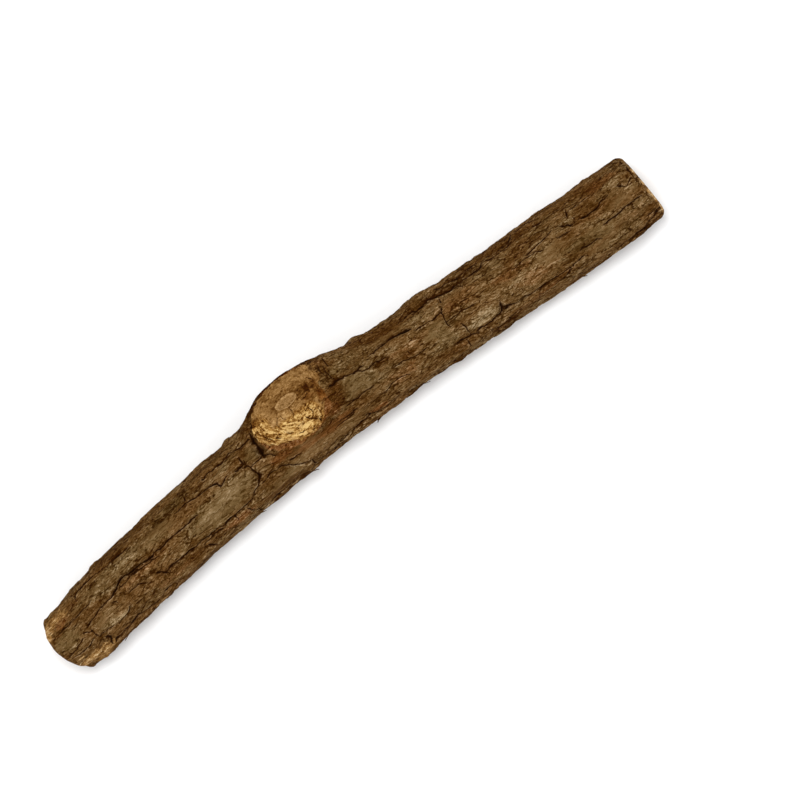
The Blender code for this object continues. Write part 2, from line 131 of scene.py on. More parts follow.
# Cracks in the wood of the knot: half width and points, from above.
WOOD_CRACKS = [
    (0.04, [(50.9, 3.8), (50.4, 3.3), (50.1, 2.8), (50.3, 2.2)]),
    (0.03, [(51.4, 3.6), (51.5, 3), (51.8, 2.4)]),
    (0.04, [(53.2, 3.8), (53.4, 3.2), (53.2, 2.6), (52.9, 2.2)]),
    (0.04, [(56.5, 1.4), (56.9, 0.7), (57, 0.2), (56.5, -0.5), (56.1, -1)]),
    (0.13, [(55.7, -0.3), (56, -0.6), (56.2, -1)]), (0.11, [(55.7, -1.4), (56.1, -2)]),
    (0.08, [(46.8, 2.5), (47.1, 1.7), (47.5, 1.1), (47.9, 0.8)]),
    (0.08, [(47.3, 3), (47.5, 2.2), (48, 1.6)]), (0.07, [(46.1, 4.3), (46.2, 3.2)]),
    (0.08, [(48.3, 0.3), (49.3, 0.1), (50, -0.5), (51, -0.85)]),
    (0.06, [(50.4, 1.2), (50.9, 0.5), (51.5, 0.3)]),
    (0.08, [(54.5, 1), (54.9, 0.4), (55.4, 0), (55.9, -0.5)]),
    (0.07, [(55.6, 3.6), (56.4, 3.6), (57, 3.9)]), (0.1, [(56.9, 4.9), (57.4, 4.4), (57.6, 3.9)]),
    (0.08, [(59.6, 3.5), (59.7, 2.8)]), (0.06, [(46.9, 5.5), (47, 5)]), (0.06, [(48.6, 1.4), (49.3, 0.9)]),
    (0.05, [(52.6, 0.7), (53.4, 0.4), (53.8, 0.7)]), (0.06, [(58.4, 5.9), (58.9, 5.2), (58.8, 4.6)]),
    (0.07, [(60, 6.2), (60.4, 5.4), (60.2, 4.6)]), (0.06, [(57.8, 1), (58.4, 1.6), (58.9, 1.5)]),
    (0.06, [(55.6, 1.9), (56, 1.2), (55.8, 0.7)]), (0.05, [(51.9, -0.3), (52.7, -0.6), (53.2, -0.5)]),
]
BARK_THICKNESS = 0.75

# The cut ends: the left one is rounded and slants away below, and the right one is sawn, with its bark
# chipped back. A grain of the length ROUND_ONLY changes round the stick alone.
LEFT_FACE = 0.24
LEFT_SLANT = 0.12
LEFT_TOP = 4.1
LEFT_UNDERCUT = 0.05
LEFT_BULGE = 0.050
LEFT_PEAK = 1.4
LEFT_ROUND = 0.35
RIGHT_FACE = 119.65
RIGHT_SKEW = 0.03
RIGHT_ROUND = 1.3
RIGHT_BARK_END = 119.42
BARK_END_WIDTH = 0.16
BARK_END_DEPTH = 0.30
END_REACH = 9.0
ROUND_ONLY = 50.0
END_PITH_RADIUS = 0.9
END_PITH_DEPTH = 0.4

# Checks, the cracks that start beside the pith: angle, and how far from the middle they start and reach.
END_CHECKS = [(24, 0.9, 4.6), (112, 1.6, 3.6), (166, 0.7, 4.2), (262, 2, 5), (316, 1.2, 3.2)]

# Furrows seen from above: width, depth, how far the bark on the left of its run stands up, and its
# points as (place along the stick, distance across it from the axis towards +Y).
FURROWS = [
    (0.3, 0.35, 0, [(2, 2.2), (5, 2.35), (6.6, 2.5), (9.6, 2.3)]),
    (0.3, 0.3, 0.1, [(7.5, 4.2), (7.9, 4.9), (9, 5), (13, 4.85), (15.2, 4.5), (17.6, 4.5), (19.6, 4.3)]),
    (0.5, 0.45, 0, [(21.8, 5), (23.6, 5.3), (26, 5.5), (28, 5.3), (31, 5.1)]),
    (0.28, 0.35, 0.1, [(6.6, -0.1), (8.4, 0.05), (10, 0.3), (12.4, 0.4)]),
    (0.34, 0.55, 0.1, [(12.2, 0.35), (14, 0.8), (14.7, 1.4), (16, 1.5), (17.4, 1.15)]),
    (0.42, 0.55, 0.1, [(16.8, 1.2), (19.2, 0.95), (21.6, 0.5), (22.2, 0.7)]),
    (0.2, 0.25, 0, [(14.4, 0.6), (16, 0.5), (17.6, 0.75), (18.6, 0.55)]),
    (0.24, 0.3, 0, [(22.2, 0.7), (24.5, 0.55), (29.6, 0.45), (31.5, 0.4)]),
    (0.18, 0.2, 0, [(17.2, 0.5), (19.8, 0.2), (22.6, -0.2)]),
    (0.2, 0.25, 0, [(11.9, -0.2), (12.5, -0.4), (12.8, -1)]),
    (0.2, 0.25, 0, [(14.8, -1.1), (16.8, -1.3), (17.6, -1.6), (18.5, -2.2)]),
    (0.42, 0.5, 0, [(20.3, -2.1), (21.2, -2.4), (21.8, -3), (22.3, -3.6)]),
    (0.55, 0.6, 0.2, [(22.4, -2.9), (24, -3), (26.5, -3.2), (28, -3.2)]),
    (0.38, 0.5, 0.2, [(28, -3.2), (31, -3.45), (33.5, -3.6), (36, -3.7), (38.6, -3.7), (40.2, -3.4)]),
    (0.5, 0.7, 0.2, [(40.2, -3.4), (41.6, -2.75), (42.4, -2.3), (43.1, -1.6), (42.8, -0.8), (42.7, 0.2),
        (42.3, 1.1), (41.6, 1.1)]),
    (0.2, 0.25, 0, [(29, -3.9), (31, -3.9), (33.6, -4)]),
    (0.28, 0.35, 0, [(42.15, 3.3), (42.1, 2.2), (42.2, 1.6)]),
    (0.24, 0.3, 0, [(37, 1.1), (37.8, 1.7), (38.6, 1.9), (39.6, 1.7), (40.4, 1.5), (42.1, 1.56)]),
    (0.32, 0.4, 0, [(28.6, 3.2), (31.1, 3.3), (32.4, 2.9), (34, 2.75), (35.6, 2.6), (36.7, 2.2),
        (37, 1.1)]),
    (0.22, 0.25, 0, [(31.3, 4.5), (31.2, 3.3)]),
    (0.3, 0.35, 0, [(35, 4.7), (35.4, 4.3), (36.4, 4.5), (39.4, 4.3), (41, 4.6), (42.4, 4.4), (45, 4.4)]),
    (0.22, 0.3, 0, [(42.8, 0.56), (44.6, 0.6), (45.2, 0.9)]),
    (0.95, 1.6, 0, [(45.8, 4.7), (45.6, 4), (45.5, 2.8), (45.5, 1.8), (45.4, 0.5)]),
    (0.34, 0.4, 0, [(46.9, 5.7), (46.6, 5.2), (46, 4.6)]),
    (0.3, 0.35, 0, [(45.4, 0.5), (46.6, -0.1), (47.4, -0.9)]),
    (0.26, 0.4, -0.2, [(45.8, -2.4), (47, -2.8), (48, -3.5), (49.2, -4.3), (50.4, -4.7), (51, -5.2),
        (51.2, -5.9)]),
    (0.16, 0.2, 0, [(42.6, -2.7), (44.2, -2.4), (45.8, -2.4)]),
    (0.28, 0.4, 0, [(38.2, -4), (38.6, -4.8), (39.4, -5.4), (39.8, -5.9)]),
    (0.2, 0.25, 0, [(36, -3.8), (36.05, -4.8)]), (0.34, 0.4, 0, [(28.4, -4.2), (29.6, -4.5), (31, -5.3)]),
    (0.22, 0.25, 0, [(6.8, -0.9), (6.9, -2), (7, -2.9)]),
    (0.3, 0.4, 0.2, [(7, -2.9), (9.4, -3.2), (11.2, -3.4), (12.8, -3.4), (13.8, -3.15), (14, -2.6)]),
    (0.45, 0.4, 0, [(7.8, -3.6), (8.6, -4.2), (8.4, -4.6), (8, -5.2)]),
    (0.72, 0.6, 0, [(8.8, -5.3), (11.2, -5.2), (14, -5.2), (16, -5.4), (17.6, -5.55), (20, -5.3),
        (22.4, -5.2)]),
    (0.18, 0.2, 0, [(0.4, -1.8), (1.6, -1.75), (3.6, -1.3), (5.2, -1.1)]),
    (0.26, 0.3, 0, [(0.6, -2.3), (2.2, -2.7), (4.4, -2.75), (6.2, -2.3)]),
    (0.16, 0.2, 0, [(5.2, -0.4), (6.2, -1), (6.7, -1.5)]),
    (0.18, 0.2, 0, [(48.2, -2.7), (49.2, -3.05), (50.4, -3.25)]),
    (0.32, 0.4, 0, [(60.4, 2.75), (62, 2.7), (63.4, 2.55), (64.6, 2.2), (65.6, 2.3), (66.8, 2.2)]),
    (0.22, 0.25, 0, [(65.6, 2.2), (66, 1.5), (67, 1.1)]),
    (0.44, 0.5, 0.1, [(68, 2.9), (69.2, 2.8), (70.4, 3.15), (73.4, 3.2), (75, 2.8), (76.3, 2.3)]),
    (0.2, 0.2, 0, [(76.4, 1.7), (78, 1.6), (80, 1.5), (81.6, 1.8), (82.4, 2.5)]),
    (0.22, 0.2, -0.25, [(82.8, 4), (82.5, 3), (81.7, 1.9), (81.3, 0.2), (81.5, -1)]),
    (0.34, 0.4, 0, [(75.6, 4.6), (76.8, 4.8), (78.2, 4.9)]),
    (0.9, 0.9, 0, [(78, 4.9), (79.6, 5), (81.2, 5.3), (82.8, 5), (84.6, 4.75), (89, 4.8), (91.6, 5)]),
    (0.24, 0.25, 0, [(78, 4.5), (80, 4.3), (82, 4.15), (83.6, 4.3), (86.4, 3.9), (86.8, 3.2)]),
    (0.6, 0.5, 0, [(83, 5.6), (87, 5.5), (91.2, 5.6)]),
    (0.22, 0.3, 0, [(83, -1.3), (83.3, -2.6), (83.2, -3.9)]),
    (0.48, 0.5, 0.15, [(80, -4), (81.6, -4), (83.2, -4.2), (84.4, -4.6)]),
    (0.6, 0.6, 0.15, [(84.4, -3.95), (86, -4.4), (87.6, -4.2), (89, -3.8), (89.8, -3.2), (89.9, -2.2)]),
    (0.22, 0.25, 0, [(82.3, -4.3), (82.1, -5.6)]), (0.22, 0.25, 0, [(58, -3), (60, -3), (62, -2.8)]),
    (0.18, 0.2, 0, [(57, -3.3), (59.4, -3.4), (61.2, -3.1)]),
    (0.2, 0.22, 0, [(60.6, -1.7), (62.8, -1.65), (64.8, -1.5), (66.2, -1.7)]),
    (0.18, 0.22, 0, [(66.8, -3.6), (68.4, -3), (70, -2.9), (71.6, -3.4)]),
    (0.16, 0.18, 0, [(70, -1.2), (72, -1.2), (74, -1.6), (76.6, -1.6)]),
    (0.16, 0.18, 0, [(72.85, -0.2), (72.9, -1.2)]), (0.16, 0.18, 0, [(73.7, 0.2), (73.85, -1.2)]),
    (0.16, 0.18, 0, [(81.6, 0), (84, 0.1), (87, -0.2)]),
    (0.55, 0.55, 0.15, [(62.3, -4.6), (63.6, -5.4), (65.5, -5.5), (68.6, -5.5), (71.5, -5.6)]),
    (0.65, 0.6, 0.1, [(86.2, -5.2), (86.6, -5.7), (91, -5.7)]),
    (0.5, 0.6, 0.1, [(90, -3.6), (92, -3.9), (94, -4), (97, -4.1), (100, -4.2)]),
    (0.3, 0.4, 0.1, [(100, -4.2), (102, -4.2), (104.2, -3.9), (105.4, -3.8)]),
    (0.3, 0.35, 0, [(89, -5.2), (92.2, -5.2), (97, -5.2), (101, -5), (102.6, -4.3)]),
    (0.75, 0.6, 0, [(92.8, 5.4), (95, 5.3), (96.6, 5.4), (97.8, 5.8)]),
    (0.2, 0.22, 0, [(92, 4.7), (93.6, 4.6), (96.6, 4.7), (97.4, 4.9)]),
    (0.4, 0.35, 0, [(100.2, 5.3), (101.8, 4.9), (103.2, 4.7)]),
    (0.26, 0.3, 0.1, [(97.8, 1.6), (99.8, 1.9), (102.2, 2.3), (103.6, 2.6)]),
    (0.3, 0.35, 0.1, [(104.6, 2.4), (105.8, 2), (106.4, 1.5), (107.4, 1.6)]),
    (0.34, 0.4, 0, [(107.1, 4), (106.8, 3.4), (106.7, 2.8)]), (0.18, 0.22, 0, [(107.4, 2.6), (107.4, 1.6)]),
    (0.18, 0.2, 0, [(107.4, 3.8), (109.4, 3.8), (112, 3.9)]),
    (0.2, 0.22, 0, [(94.4, 1), (96, 1.1), (97.4, 1.2), (99.4, 1.2), (100.6, 0.7)]),
    (0.18, 0.22, 0, [(103.2, 1.2), (104, 0.9), (105.8, 0.7)]),
    (0.3, 0.35, 0, [(107.8, 1.6), (109.4, 1.4), (111.4, 1.5), (112, 1.9), (114, 2.2)]),
    (0.16, 0.18, 0, [(115.8, 2.3), (116.8, 2.1), (117.4, 1.5), (118.2, 1.7), (119, 2.2)]),
    (0.14, 0.14, 0, [(60.9, 6.6), (60.7, 5.6), (60.9, 4.2)]),
    (0.14, 0.14, 0, [(61.5, 5.9), (61.4, 4.8), (61.5, 3.4)]),
    (0.14, 0.14, 0, [(62.1, 7), (62.2, 6), (62.1, 5.2)]),
    (0.18, 0.2, 0, [(66.6, 1.25), (68.6, 1.25), (70.4, 1.15)]),
    (0.28, 0.35, 0.1, [(110.4, -1.5), (112, -1.4), (115, -1.2), (118.6, -1.2)]),
    (0.22, 0.25, 0, [(105, -2.8), (107, -2.7), (109, -2.9)]),
    (0.7, 0.6, 0, [(112.6, -5.7), (116, -5.6), (118, -5.2), (119.4, -4.6)]),
    (0.22, 0.25, 0, [(117, -4.2), (118.2, -4.5), (119, -4.2)]),
    (0.8, 0.6, 0, [(40.9, -5.95), (43, -6.05), (46, -6), (48, -6.05), (49.6, -6.1)]),
    (0.6, 0.45, 0, [(52, -5.95), (54, -6), (57, -5.9), (59.6, -5.95)]),
    (0.75, 0.6, 0, [(69.6, -5.9), (71, -6), (72.4, -5.9)]),
    (0.8, 0.6, 0, [(75.2, -5.9), (77, -6), (79, -5.95), (81, -5.85)]),
]

# Furrows on the hidden side, laid by a rule.
HIDDEN_COUNT = 46
HIDDEN_ANGLES = (78.0, 286.0)
HIDDEN_LENGTHS = (6.0, 24.0)
HIDDEN_STEP = 3.0
HIDDEN_WANDER = 7.0
HIDDEN_WIDTHS = (0.35, 0.60)
HIDDEN_LIFTS = [0.0, 0.0, 0.12, -0.15]
HIDDEN_SEED = 12

# Raised edges of flakes that catch the light, as points from above. They are painted paler: a painted
# highlight.
HIGHLIGHT_EDGES = [
    [(7.4, -2.5), (9.6, -2.6), (11, -2.75), (12.4, -3), (13.7, -3.15)], [(4.5, -2.45), (5.6, -2.3)],
    [(16.6, -0.55), (17.8, -0.7)], [(16.8, -2.85), (18.2, -2.95)], [(19.2, -4.3), (20, -4.4)],
    [(10.8, 2.75), (11.8, 2.6)], [(2, -0.9), (4, -0.8)], [(9.4, 4.2), (10.4, 4.4)],
    [(33, -3), (35.2, -3.2)], [(47.2, -2.95), (48.6, -3.95), (50, -4.95), (50.9, -5.35)],
    [(40.2, -3.1), (41.9, -2.45), (42.6, -1.6)], [(48.2, -2.35), (49.2, -2.8), (50.6, -2.95)],
    [(49.2, -1.25), (49.9, -1.2)], [(50.8, -2), (51.4, -2.2)],
    [(66.5, 0.95), (67.6, 0.35), (68.7, -0.1), (69.6, 0.2)], [(59.4, -3.55), (60.9, -3.7), (62, -3.25)],
    [(73.6, 0.5), (76, 0.45)], [(78.6, 4.2), (80.4, 4), (82.2, 4.1)],
    [(80.2, 1.7), (81.4, 2.3), (82.2, 3.2)], [(84.6, -3.2), (87.4, -3.6)], [(91, 4.3), (93, 4.25)],
    [(96.8, 2.6), (96.9, 1.6)], [(96.4, -1.9), (98.6, -1.85), (101, -1.7)], [(95.6, -2.3), (98.2, -2.25)],
    [(103.6, 2.75), (104.6, 3), (105.8, 2.9)], [(108, -0.4), (110, -0.35)], [(36.4, 1.5), (37.4, 2.1)],
    [(116.6, 1.2), (118.2, 1.1)], [(106.8, 1.85), (107.3, 2.2)], [(64.6, -4.4), (66, -4.6)],
    [(24.6, -2.6), (26.4, -2.7)],
]
HIGHLIGHT_EDGE_WIDTH = 0.11
LEAST_CRACK = 0.075
LEAST_TROUGH = 0.24

# Distances to a crack or an edge, in its half widths, are kept up to FAR, and those from the centre of an
# oval patch, in its own size, up to OUTSIDE.
FAR = 6.0
OUTSIDE = 4.0

# Patches where the bark has come away: centre as a furrow's point, half length, half width, depth, and
# whether the paler layer below shows there.
PEELS = [
    (3.6, -4.85, 5.3, 2.1, 0.36, True), (1.7, 4, 3.6, 1.55, 0.25, True), (0.2, 3.4, 0.7, 1.7, 0, True),
    (68.6, 0.7, 1.9, 0.5, 0.24, False),
]

# The bark's plates, and the thin layers that flake off them.
PLATE_LENGTH = 9.0
PLATE_WIDTH = 2.5
PLATE_STEP = 0.16
LAYER_HEIGHT = 0.10
LAYERS = 2.6
FIBRE_HEIGHT = 0.05
GRIT_HEIGHT = 0.03

# Patches of another tone on the bark: centre as a furrow's point, half length, half width, and how much
# lighter, greyer and redder the bark is there. The narrow dark patches along the lower outline, -5.8 to -6
# across, are painted shade under overhanging plates, and those along the knot's upper outline darken its
# bark rim, its own darker bark and painted shade where it turns from the light.
BARK_TONES = [
    (35.5, -1.2, 7, 2.4, 0.07, 0.8, 0), (14, 3.2, 7, 1.6, 0.05, 0.4, 0), (23.5, 3, 6, 1.8, 0.02, 0.4, 0),
    (29.5, 4.3, 3.2, 1.1, -0.16, 0.5, 0), (9.5, -1.6, 2.8, 1.3, 0.05, 0.3, 0),
    (12, -2.9, 2.4, 0.4, 0.18, 0.6, 0), (2.5, 0.3, 2.6, 1.8, 0.06, 0.9, 0), (3.2, 3.3, 1.6, 0.9, 0, 0, 1),
    (6.4, 3.9, 1.8, 0.9, -0.18, 0, 0.3), (20, 0, 5, 0.9, 0, -0.2, 0.4),
    (25.5, -1.8, 3.5, 0.9, 0.05, 0.1, -0.1), (24, -4.2, 7, 0.6, -0.02, 0, 0.4),
    (36.4, -4.5, 3.4, 0.7, 0.1, 0, 0.8), (46, -4.4, 5, 1.2, 0, 0.3, 0.1), (47.8, -5, 2.2, 0.4, -0.12, 0, 0),
    (40, 3.3, 3, 0.8, 0.02, 0.5, 0), (44, 2.2, 1.3, 1.3, 0, 0.6, 0), (37, 5.2, 6, 0.7, -0.1, 0.2, 0.2),
    (47.8, -1.4, 2.6, 0.8, -0.02, 0, 0.9), (57.5, -2.8, 4, 1, -0.08, -0.4, 0.6),
    (64.5, 0.4, 4, 1.4, -0.03, 0.5, -0.1), (51.8, -2.7, 2.6, 0.9, 0.14, 0, 0.5), (8, 0, 6, 4, 0.1, 0.1, 0),
    (38, 1.6, 3.2, 3.4, 0.16, 0.1, 0), (74, -0.5, 5, 2.4, -0.04, 0, 0),
    (68.9, 0.8, 1.7, 0.45, -0.3, -0.3, 0), (116, 0, 3, 4, 0.06, 0.1, 0), (54, -4, 6, 1.6, 0.06, 0.1, 0.1),
    (0.3, 3.4, 0.8, 1.7, 0.3, 0, 0), (15.5, -1, 3, 3, 0.04, 0, 0), (46.2, 6, 1.4, 0.8, -0.2, 0, -0.3),
    (48.4, 7.4, 1.6, 0.7, -0.36, 0, -0.4), (51.6, 8.5, 2.4, 0.5, -0.4, 0, -0.4),
    (55.4, 8.8, 2.4, 0.5, -0.4, 0, -0.4), (14.2, -5.8, 2.6, 0.6, -0.22, 0, 0),
    (20.3, -5.9, 1.4, 0.6, -0.2, 0, 0), (39.6, -5.9, 0.6, 0.8, -0.26, 0, 0),
    (45.6, -6, 4.8, 0.55, -0.24, 0, 0), (55.5, -6, 4.5, 0.5, -0.18, 0, 0), (60, -6, 2.2, 0.5, -0.2, 0, 0),
    (71, -5.9, 1.4, 0.6, -0.26, 0, 0), (78, -5.9, 3, 0.55, -0.24, 0, 0),
    (88.7, -5.9, 2.6, 0.6, -0.26, 0, 0), (103.1, -5.9, 0.9, 0.7, -0.26, 0, 0),
    (115.2, -5.9, 4.6, 0.8, -0.2, 0, 0.3), (65, 4.2, 4, 1.6, -0.04, 0.2, 0),
    (71, -2.6, 3, 1.2, 0.06, 0, 0.5), (75, 0.5, 5, 0.6, 0.02, 0, 0.4),
    (73.5, -0.6, 2.2, 0.7, -0.06, 0, 0.3), (79, 2.2, 2.6, 0.8, 0.06, 0.2, 0.3),
    (79.5, -0.2, 1.8, 1.2, 0, 0.7, 0), (85, 2, 4, 1.8, -0.03, 0, 0.3), (86.5, -2.6, 2.8, 1.2, 0.22, 0.4, 0),
    (79.5, -2.6, 2.6, 1.2, 0.06, 0.5, 0), (80, -4.7, 4, 0.7, -0.05, 0, 0.2),
    (64.5, -4.8, 2.4, 0.5, 0.08, 0, 0.9), (92.5, 3, 4, 1.2, 0.04, 0.3, 0), (94, 0.6, 4, 0.9, -0.05, 0, 0.5),
    (97, -1.8, 4.5, 1.1, 0.07, 0, 0.4), (109.6, 2.6, 2.2, 0.7, -0.2, -0.3, -0.3),
    (114.5, 4.4, 4, 1.2, -0.04, 0, 0.5), (112, 0.2, 5, 1, 0.06, 0.2, 0.1),
    (107, -2.2, 4.5, 1.2, -0.01, 0.6, 0), (115.5, -2.6, 3.5, 1.6, -0.03, 0.2, 0.2),
    (99, -4.5, 6, 0.6, -0.12, 0, 0.2), (96.5, -4.9, 6, 0.4, 0.05, 0, 0.4),
    (61.2, 4, 1.1, 2.6, -0.16, -0.2, 0.1), (58.6, -0.4, 1.3, 1.2, 0.05, 0, 0.65),
    (85, 4.9, 4, 0.4, -0.16, 0, 0), (61.2, 7, 0.9, 0.7, 0.06, 0, 0.2),
    (60.8, 0.9, 1.8, 1.4, -0.1, -0.2, 0.2),
]

# Patches where the bark is smooth, with little relief and few lines: centre, half length and half width.
CALM_PATCHES = [
    (52, -3, 5, 1.8), (58, -3.8, 5, 1.8), (46.5, -4.3, 4, 1.4), (44, 2.3, 1.4, 1.5), (35.5, -1.2, 6, 2),
    (64.5, 0.2, 3.4, 1.8), (79.2, -0.4, 2.4, 1.6), (101.5, -0.6, 3, 1.4), (108.5, -2.6, 5, 2),
    (115, 0.6, 3.2, 1.4), (25.5, 2.6, 3.4, 1.4), (2.4, 0.4, 2.4, 1.4), (9.8, -1.2, 1.8, 0.9),
    (73, 3.8, 3, 1.2), (56, 12, 6, 1.5),
]

# The net of the mesh: columns round the stick, closer together on its upper side by this share, rows
# along it, closer together in the stretches named here, and rings in each cut end.
COLUMNS = 224
UPPER_SHARE = 0.3
ROW_STRETCHES = [
    (0, 4, 0.2), (4, 43, 0.35), (43, 61.5, 0.21), (61.5, 81, 0.35), (81, 84, 0.2), (84, 116, 0.35),
    (116, 120, 0.2),
]
END_RINGS = [0, 0.04, 0.08, 0.12, 0.17, 0.23, 0.3, 0.38, 0.47, 0.56, 0.65, 0.74, 0.82, 0.89, 0.95]


def through(stations, at):
    """The value at a place of the smooth curve through a list of (place, value) stations."""
    place, value = np.array(stations).T
    slope = np.gradient(value, place)
    i = np.clip(np.searchsorted(place, at) - 1, 0, len(place) - 2)
    gap = place[i + 1] - place[i]
    t = np.clip((at - place[i]) / gap, 0.0, 1.0)
    ends = value[i] * (1 + 2 * t) * (1 - t) ** 2 + value[i + 1] * t * t * (3 - 2 * t)
    return ends + gap * (slope[i] * t * (1 - t) ** 2 - slope[i + 1] * t * t * (1 - t))


def smooth_step(low, high, value):
    """0 below low and 1 above high, with a smooth rise between."""
    t = np.clip((value - low) / (high - low), 0.0, 1.0)
    return t * t * (3 - 2 * t)


def noise_at(x, y, z):
    """Noise from -1 to 1 at arrays of coordinates."""
    values = [noise.noise(Vector(point)) for point in zip(x.flat, y.flat, z.flat)]
    return np.array(values).reshape(x.shape)


def noise_over(along, angle, length, width, offset):
    """Noise from -1 to 1 over the unbent stick, drawn out to a grain of that length and width. The offset
    sets one noise apart from the next."""
    side, up = RADIUS * np.sin(angle), RADIUS * np.cos(angle)
    return noise_at(along / length + offset, side / width, up / width)


def turn_from(angle, towards):
    """Degrees from a direction round the stick to each angle, from -180 to 180."""
    turn = np.degrees(angle) - towards
    return turn - 360.0 * np.round(turn / 360.0)


def smaller(a, b, blend):
    """The smaller of two surfaces, with the edge where they cross rounded off by the blend."""
    gap = np.maximum(blend - np.abs(a - b), 0.0) / blend
    return np.minimum(a, b) - gap * gap * blend / 4


def cut_plane(angle, towards, distance):
    """Radius at an angle round the stick of a flat cut that faces towards an angle."""
    return distance / np.maximum(np.cos(angle - math.radians(towards)), 0.2)


def stub(along, angle, bark):
    """Radius with the stub of the pruned side branch on it."""
    offset = along - KNOT_PLACE
    turn = turn_from(angle, KNOT_ANGLE)
    reach = offset / np.where(offset < 0, KNOT_REACH_LEFT, KNOT_REACH_RIGHT)
    spread = turn / np.where(turn < 0, KNOT_SPREAD_DOWN, KNOT_SPREAD_UP)
    return bark + KNOT_RISE * np.exp(-(np.hypot(reach, spread) ** KNOT_SHOULDER))


def cut_face(along, angle, roughness):
    """Radius of the two cuts of the stub, which meet in a ridge."""
    curve = CUT_CURVE_RISE * np.maximum(along - CUT_CURVE_START, 0.0) ** 2
    old_cut = cut_plane(angle, OLD_CUT_ANGLE, OLD_CUT_DISTANCE) + curve
    new_cut = cut_plane(angle, NEW_CUT_ANGLE, NEW_CUT_DISTANCE) + curve + roughness
    return smaller(old_cut, new_cut, CUT_RIDGE_BLEND)


def angle_of(place, across):
    """The angle round the stick, in radians, of a point seen from above at that distance across."""
    turns = np.linspace(-math.pi / 2, math.pi / 2, 361)
    at = np.full(turns.shape, float(place))
    radius = np.minimum(stub(at, turns, through(GIRTH, at)), cut_face(at, turns, 0.0))
    return float(np.interp(across, np.maximum.accumulate(radius * np.sin(turns)), turns))


def bark_plates(along, angle):
    """Tone of the bark's plates, from -1 to 1."""
    side, up = RADIUS * np.sin(angle), RADIUS * np.cos(angle)
    tones = []
    for x, y, z in zip(along.flat, side.flat, up.flat):
        _, cells = noise.voronoi(Vector((x / PLATE_LENGTH, y / PLATE_WIDTH, z / PLATE_WIDTH)))
        tones.append(noise.noise(7.3 * cells[0]))
    return np.array(tones).reshape(along.shape)


def flaking_layers(along, angle):
    """How many of the thin outer layers are left at each point, and their height."""
    rise = noise_over(along, angle, 7.0, 1.7, 200.0) + 0.6 * noise_over(along, angle, 2.6, 0.7, 230.0)
    rise = LAYERS * (rise + 0.20 * noise_over(along, angle, 0.8, 0.3, 260.0))
    level = np.floor(rise)
    return rise, LAYER_HEIGHT * (level + smooth_step(0.70, 1.0, rise - level))


def hidden_furrows():
    """Furrows on the side that is turned to the surface, as (width, depth, lift, points round it)."""
    draw = random.Random(HIDDEN_SEED)
    furrows = []
    for _ in range(HIDDEN_COUNT):
        place = draw.uniform(2.0, LENGTH - 8.0)
        angle = draw.uniform(*HIDDEN_ANGLES)
        points = [(place, math.radians(angle))]
        for _ in range(round(draw.uniform(*HIDDEN_LENGTHS) / HIDDEN_STEP)):
            place += HIDDEN_STEP
            angle += draw.uniform(-HIDDEN_WANDER, HIDDEN_WANDER)
            points.append((place, math.radians(angle)))
        width = draw.uniform(*HIDDEN_WIDTHS)
        furrows.append((0.7 * width, 0.9 * width, draw.choice(HIDDEN_LIFTS), points))
    return furrows


def nearest_on_run(along, arc, run):
    """Distance to a run of points, the side of it, how far along it, and the length of the run."""
    distance = np.full(along.shape, 1e9)
    side = np.zeros(along.shape)
    reach = np.zeros(along.shape)
    passed = 0.0
    for (x0, a0), (x1, a1) in zip(run, run[1:]):
        length = math.hypot(x1 - x0, a1 - a0)
        dx, da = (x1 - x0) / length, (a1 - a0) / length
        t = np.clip((along - x0) * dx + (arc - a0) * da, 0.0, length)
        here = np.hypot(along - x0 - t * dx, arc - a0 - t * da)
        closer = here < distance
        distance = np.where(closer, here, distance)
        side = np.where(closer, np.sign(dx * (arc - a0) - da * (along - x0)), side)
        reach = np.where(closer, passed + t, reach)
        passed += length
    return distance, side, reach, passed


def seen_from_above(points):
    """Points (place, distance across) of the upper side as points (place, angle)."""
    return [(place, angle_of(place, across)) for place, across in points]


def tapered(reach, length, over):
    """1 along a run of points of that length, falling to 0 over a stretch at each end."""
    return smooth_step(-0.2, over, reach) * smooth_step(-0.2, over, length - reach)


